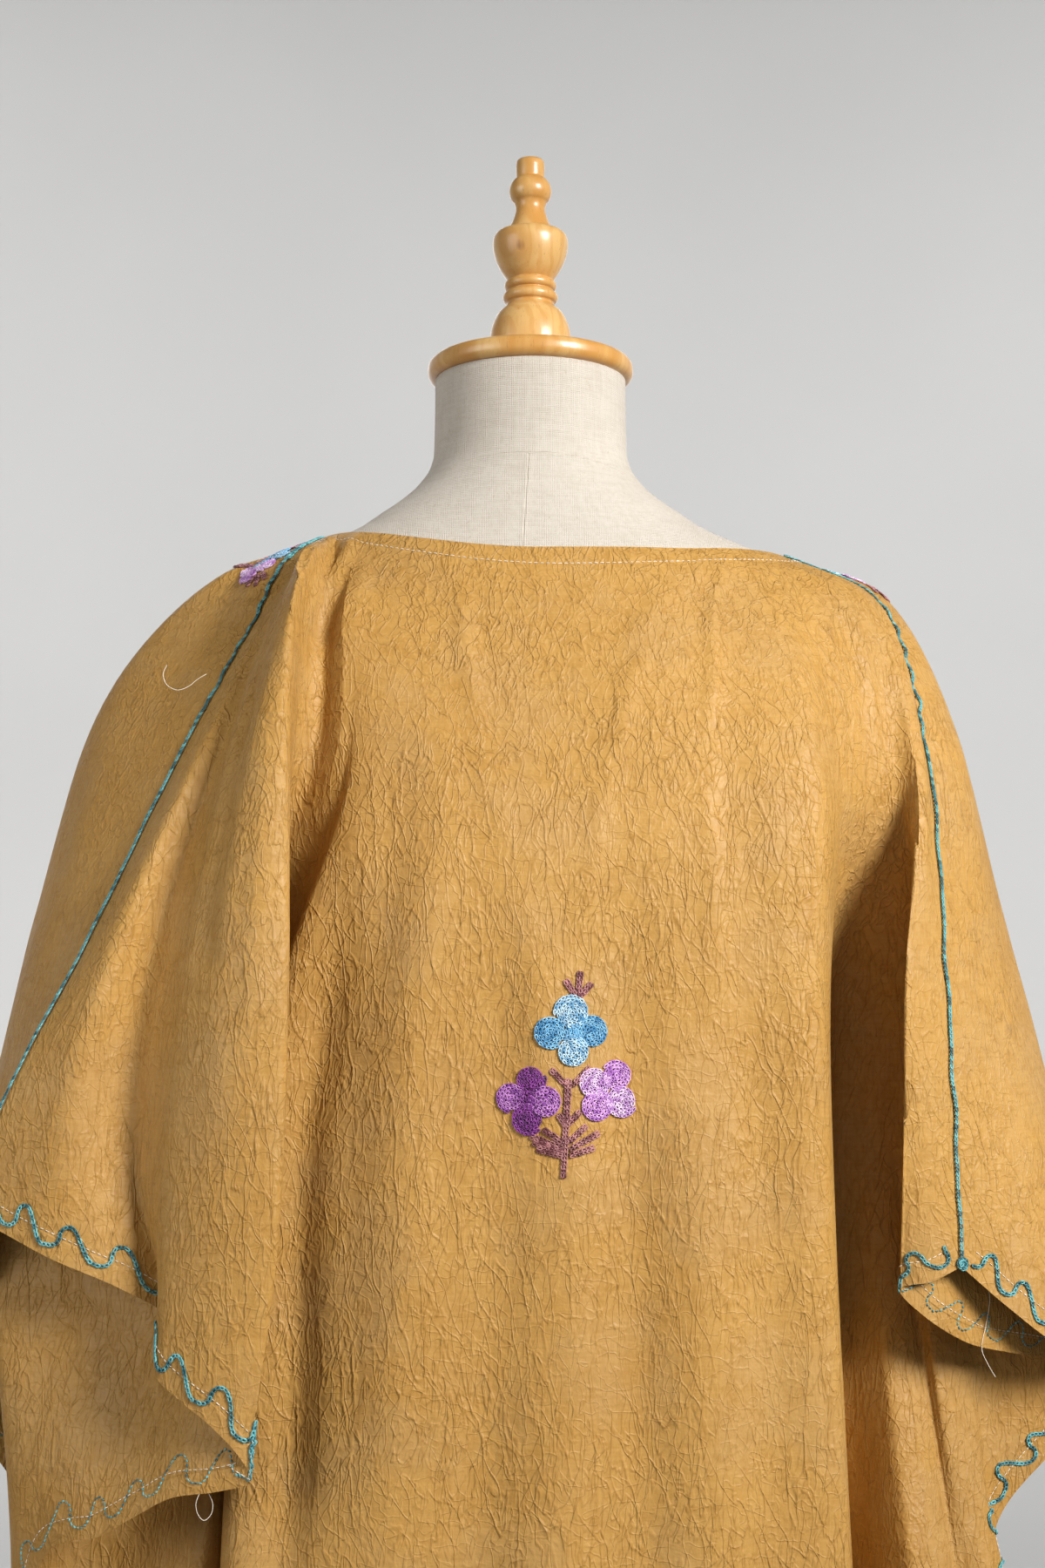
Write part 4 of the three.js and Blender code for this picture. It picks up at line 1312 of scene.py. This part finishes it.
# The sprig on the front panel where it rolls over the shoulder: how far down the seam, how
# far from it, and how big.
shoulderPetals = """
 tone    along  in    r
 plum      3.0 15.0  6.5
 plum      8.0  7.5  5.0
 violet   13.0 20.0  6.0
 blue     22.0 16.0  7.0
 skyBlue  30.0  9.5  6.0
 blue     32.0 22.0  7.0
 lilac    42.0 13.0  7.0
 orchid   50.0 22.0  7.5
 lilac    40.0 29.0  7.0
"""
shoulderStrokes = """
 x1    y1    x2    y2   rows
 9.0  12.0  21.0  27.0  2
 16.0 5.5   10.0  13.0  2
 50.0 11.0  57.0   6.0  2
 51.0 13.0  62.0  11.0  2
 50.0 16.0  61.0  18.0  2
 20.0 27.0  46.0  31.0  3
 30.0 30.0  30.0  44.0  2
"""


def shoulderSprig(name, column, inward, shift):
    down = np.arange(0, 30, 0.5)
    strip = Strip(frontSheet, np.full(len(down), float(column)), down, (inward, 0), 60)

    def lay(path):
        return strip.at(path[:, 0], path[:, 1] + shift)

    sewSprig(name, shoulderStrokes, shoulderPetals, 1, lay)


shoulderSprig("shoulderSprigLeft", 0, 1, 0)
shoulderSprig("shoulderSprigRight", frontSheet.nu - 1, -1, 4)

# Loose thread ends by x, y and z. The first lies on the cloth, and the others hang free.
looseEnds = {
    "radius": 0.18,
    "paths": [
        [(-201, -110, 1329), (-203, -110, 1324), (-201, -110, 1318), (-195, -110, 1315), (-189, -110, 1317),
         (-184, -110, 1321), (-179, -110, 1324)],
        [(-158, -165, 902), (-161, -168, 899), (-167, -169, 898), (-170, -169, 892), (-169, -168, 886),
         (-166, -167, 883), (-162.6, -166, 886), (-162, -166, 891), (-164.5, -166, 897)],
        [(254, -66, 990), (255, -68, 979), (252, -71, 966), (249, -73, 953), (252, -74, 945),
         (256, -74, 938)],
    ],
}


def looseEnd(path, sides=5):
    middle = splineAt(np.array(path, float), np.arange(0, len(path) - 1 + 1e-6, 0.2))
    ahead = unit(np.gradient(middle, axis=0))
    points = tubePoints(middle, ahead, looseEnds["radius"], sides, (0.1, 1.0, 0.2))
    return points, ringFaces(len(middle), sides), np.full((len(points), 2), 0.6)


# Lays a path on whichever panel its ray meets first.
def onCloth(path):
    trees = [meshTree(sheet, *rays["shoulderBox"]) for sheet in (backSheet, frontSheet)]
    laid = []
    for x, y, z in path:
        hits = [rayHit(tree, x, z)[0] for tree in trees]
        laid.append((x, min(hit.y - 0.5 if hit else y for hit in hits), z))
    return laid


ends = Needlework()
first, *hanging = looseEnds["paths"]
for path in (onCloth(first), *hanging):
    ends.add(*looseEnd(path), 0)
ends.piece("looseEnds", [yarn[cream]])
print("shoulder sprigs and loose ends sewn")

# The lamps and the room, in metres.
lamps = {
    "key": {"place": (1.75, -1.75, 2.2), "aim": (0.05, -0.05, 1.2), "size": 0.9, "power": 16,
            "spread": 66, "tint": (1, 0.985, 0.96)},
    "fill": {"place": (-2.0, -1.4, 1.6), "aim": (0, 0, 1.2), "size": 1.5, "power": 5.5,
             "spread": 80, "tint": (1, 0.98, 0.95)},
    "front": {"place": (-0.3, 3.6, 2.4), "aim": (0, 0, 1.0), "size": 3.0, "power": 7,
              "spread": 70, "tint": (1, 0.99, 0.97)},
    "wallLeft": {"place": (-3.4, 1.0, 5.2), "aim": (-2.1, 6.8, 1.6), "size": 2.6, "power": 118},
    "wallRight": {"place": (3.4, 1.0, 5.2), "aim": (2.1, 6.8, 1.6), "size": 2.6, "power": 118},
    "wallFront": {"place": (0, -1.6, 6.6), "aim": (0, -6.8, 2.4), "size": 2.6, "power": 70},
}
room = {"pale": (0.62, 0.617, 0.61), "radius": 6.8, "bend": 2.0, "wall": 9.0, "sky": 0.07}


def studioLight(name, look):
    light = bpy.data.lights.new(name, "AREA")
    light.shape, light.size, light.energy = "SQUARE", look["size"], look["power"]
    light.color = look.get("tint", (1, 1, 1))
    light.spread = math.radians(look.get("spread", 110))
    lamp = bpy.data.objects.new(name, light)
    lamp.visible_camera = False
    lamp.location = look["place"]
    way = Vector(look["aim"]) - Vector(look["place"])
    lamp.rotation_euler = way.to_track_quat("-Z", "Y").to_euler()
    bpy.context.scene.collection.objects.link(lamp)


# A round floor that bends up into the wall.
def studioRoom(around=96):
    radius, bend = room["radius"], room["bend"]
    profile = [(0.05, 0), (0.6, 0), (radius - bend, 0)] + arc(radius - bend, bend, bend, -85, 0, 14)
    profile += [(radius, bend + 0.6), (radius, room["wall"])]
    c, s = circle(around)
    points = np.array([np.stack([r * c, r * s, np.full(around, z)], -1) for r, z in profile]) / mm
    floor = np.arange(around)[None, ::-1]
    sweep = newObject("studioSweep", points, [ringFaces(len(profile), around), floor])
    kit = Finish("paperSweep")
    shade = tuple(c * 0.97 for c in room["pale"])
    colour = kit.mix(kit.noise(kit.place(), 0.8).ramp(0.3, 0.7), room["pale"], shade)
    sweep.data.materials.append(kit.surface(colour, 0.95, None, {"Specular IOR Level": 0.1}))


for name, look in lamps.items():
    studioLight(name + "Light", look)
studioRoom()
world = bpy.data.worlds.new("studioAir")
world.use_nodes = True
air = world.node_tree.nodes["Background"]
air.inputs["Color"].default_value = (1, 1, 1, 1)
air.inputs["Strength"].default_value = room["sky"]
bpy.context.scene.world = world
bpy.context.scene.view_settings.view_transform = "Standard"
print("studio lit")
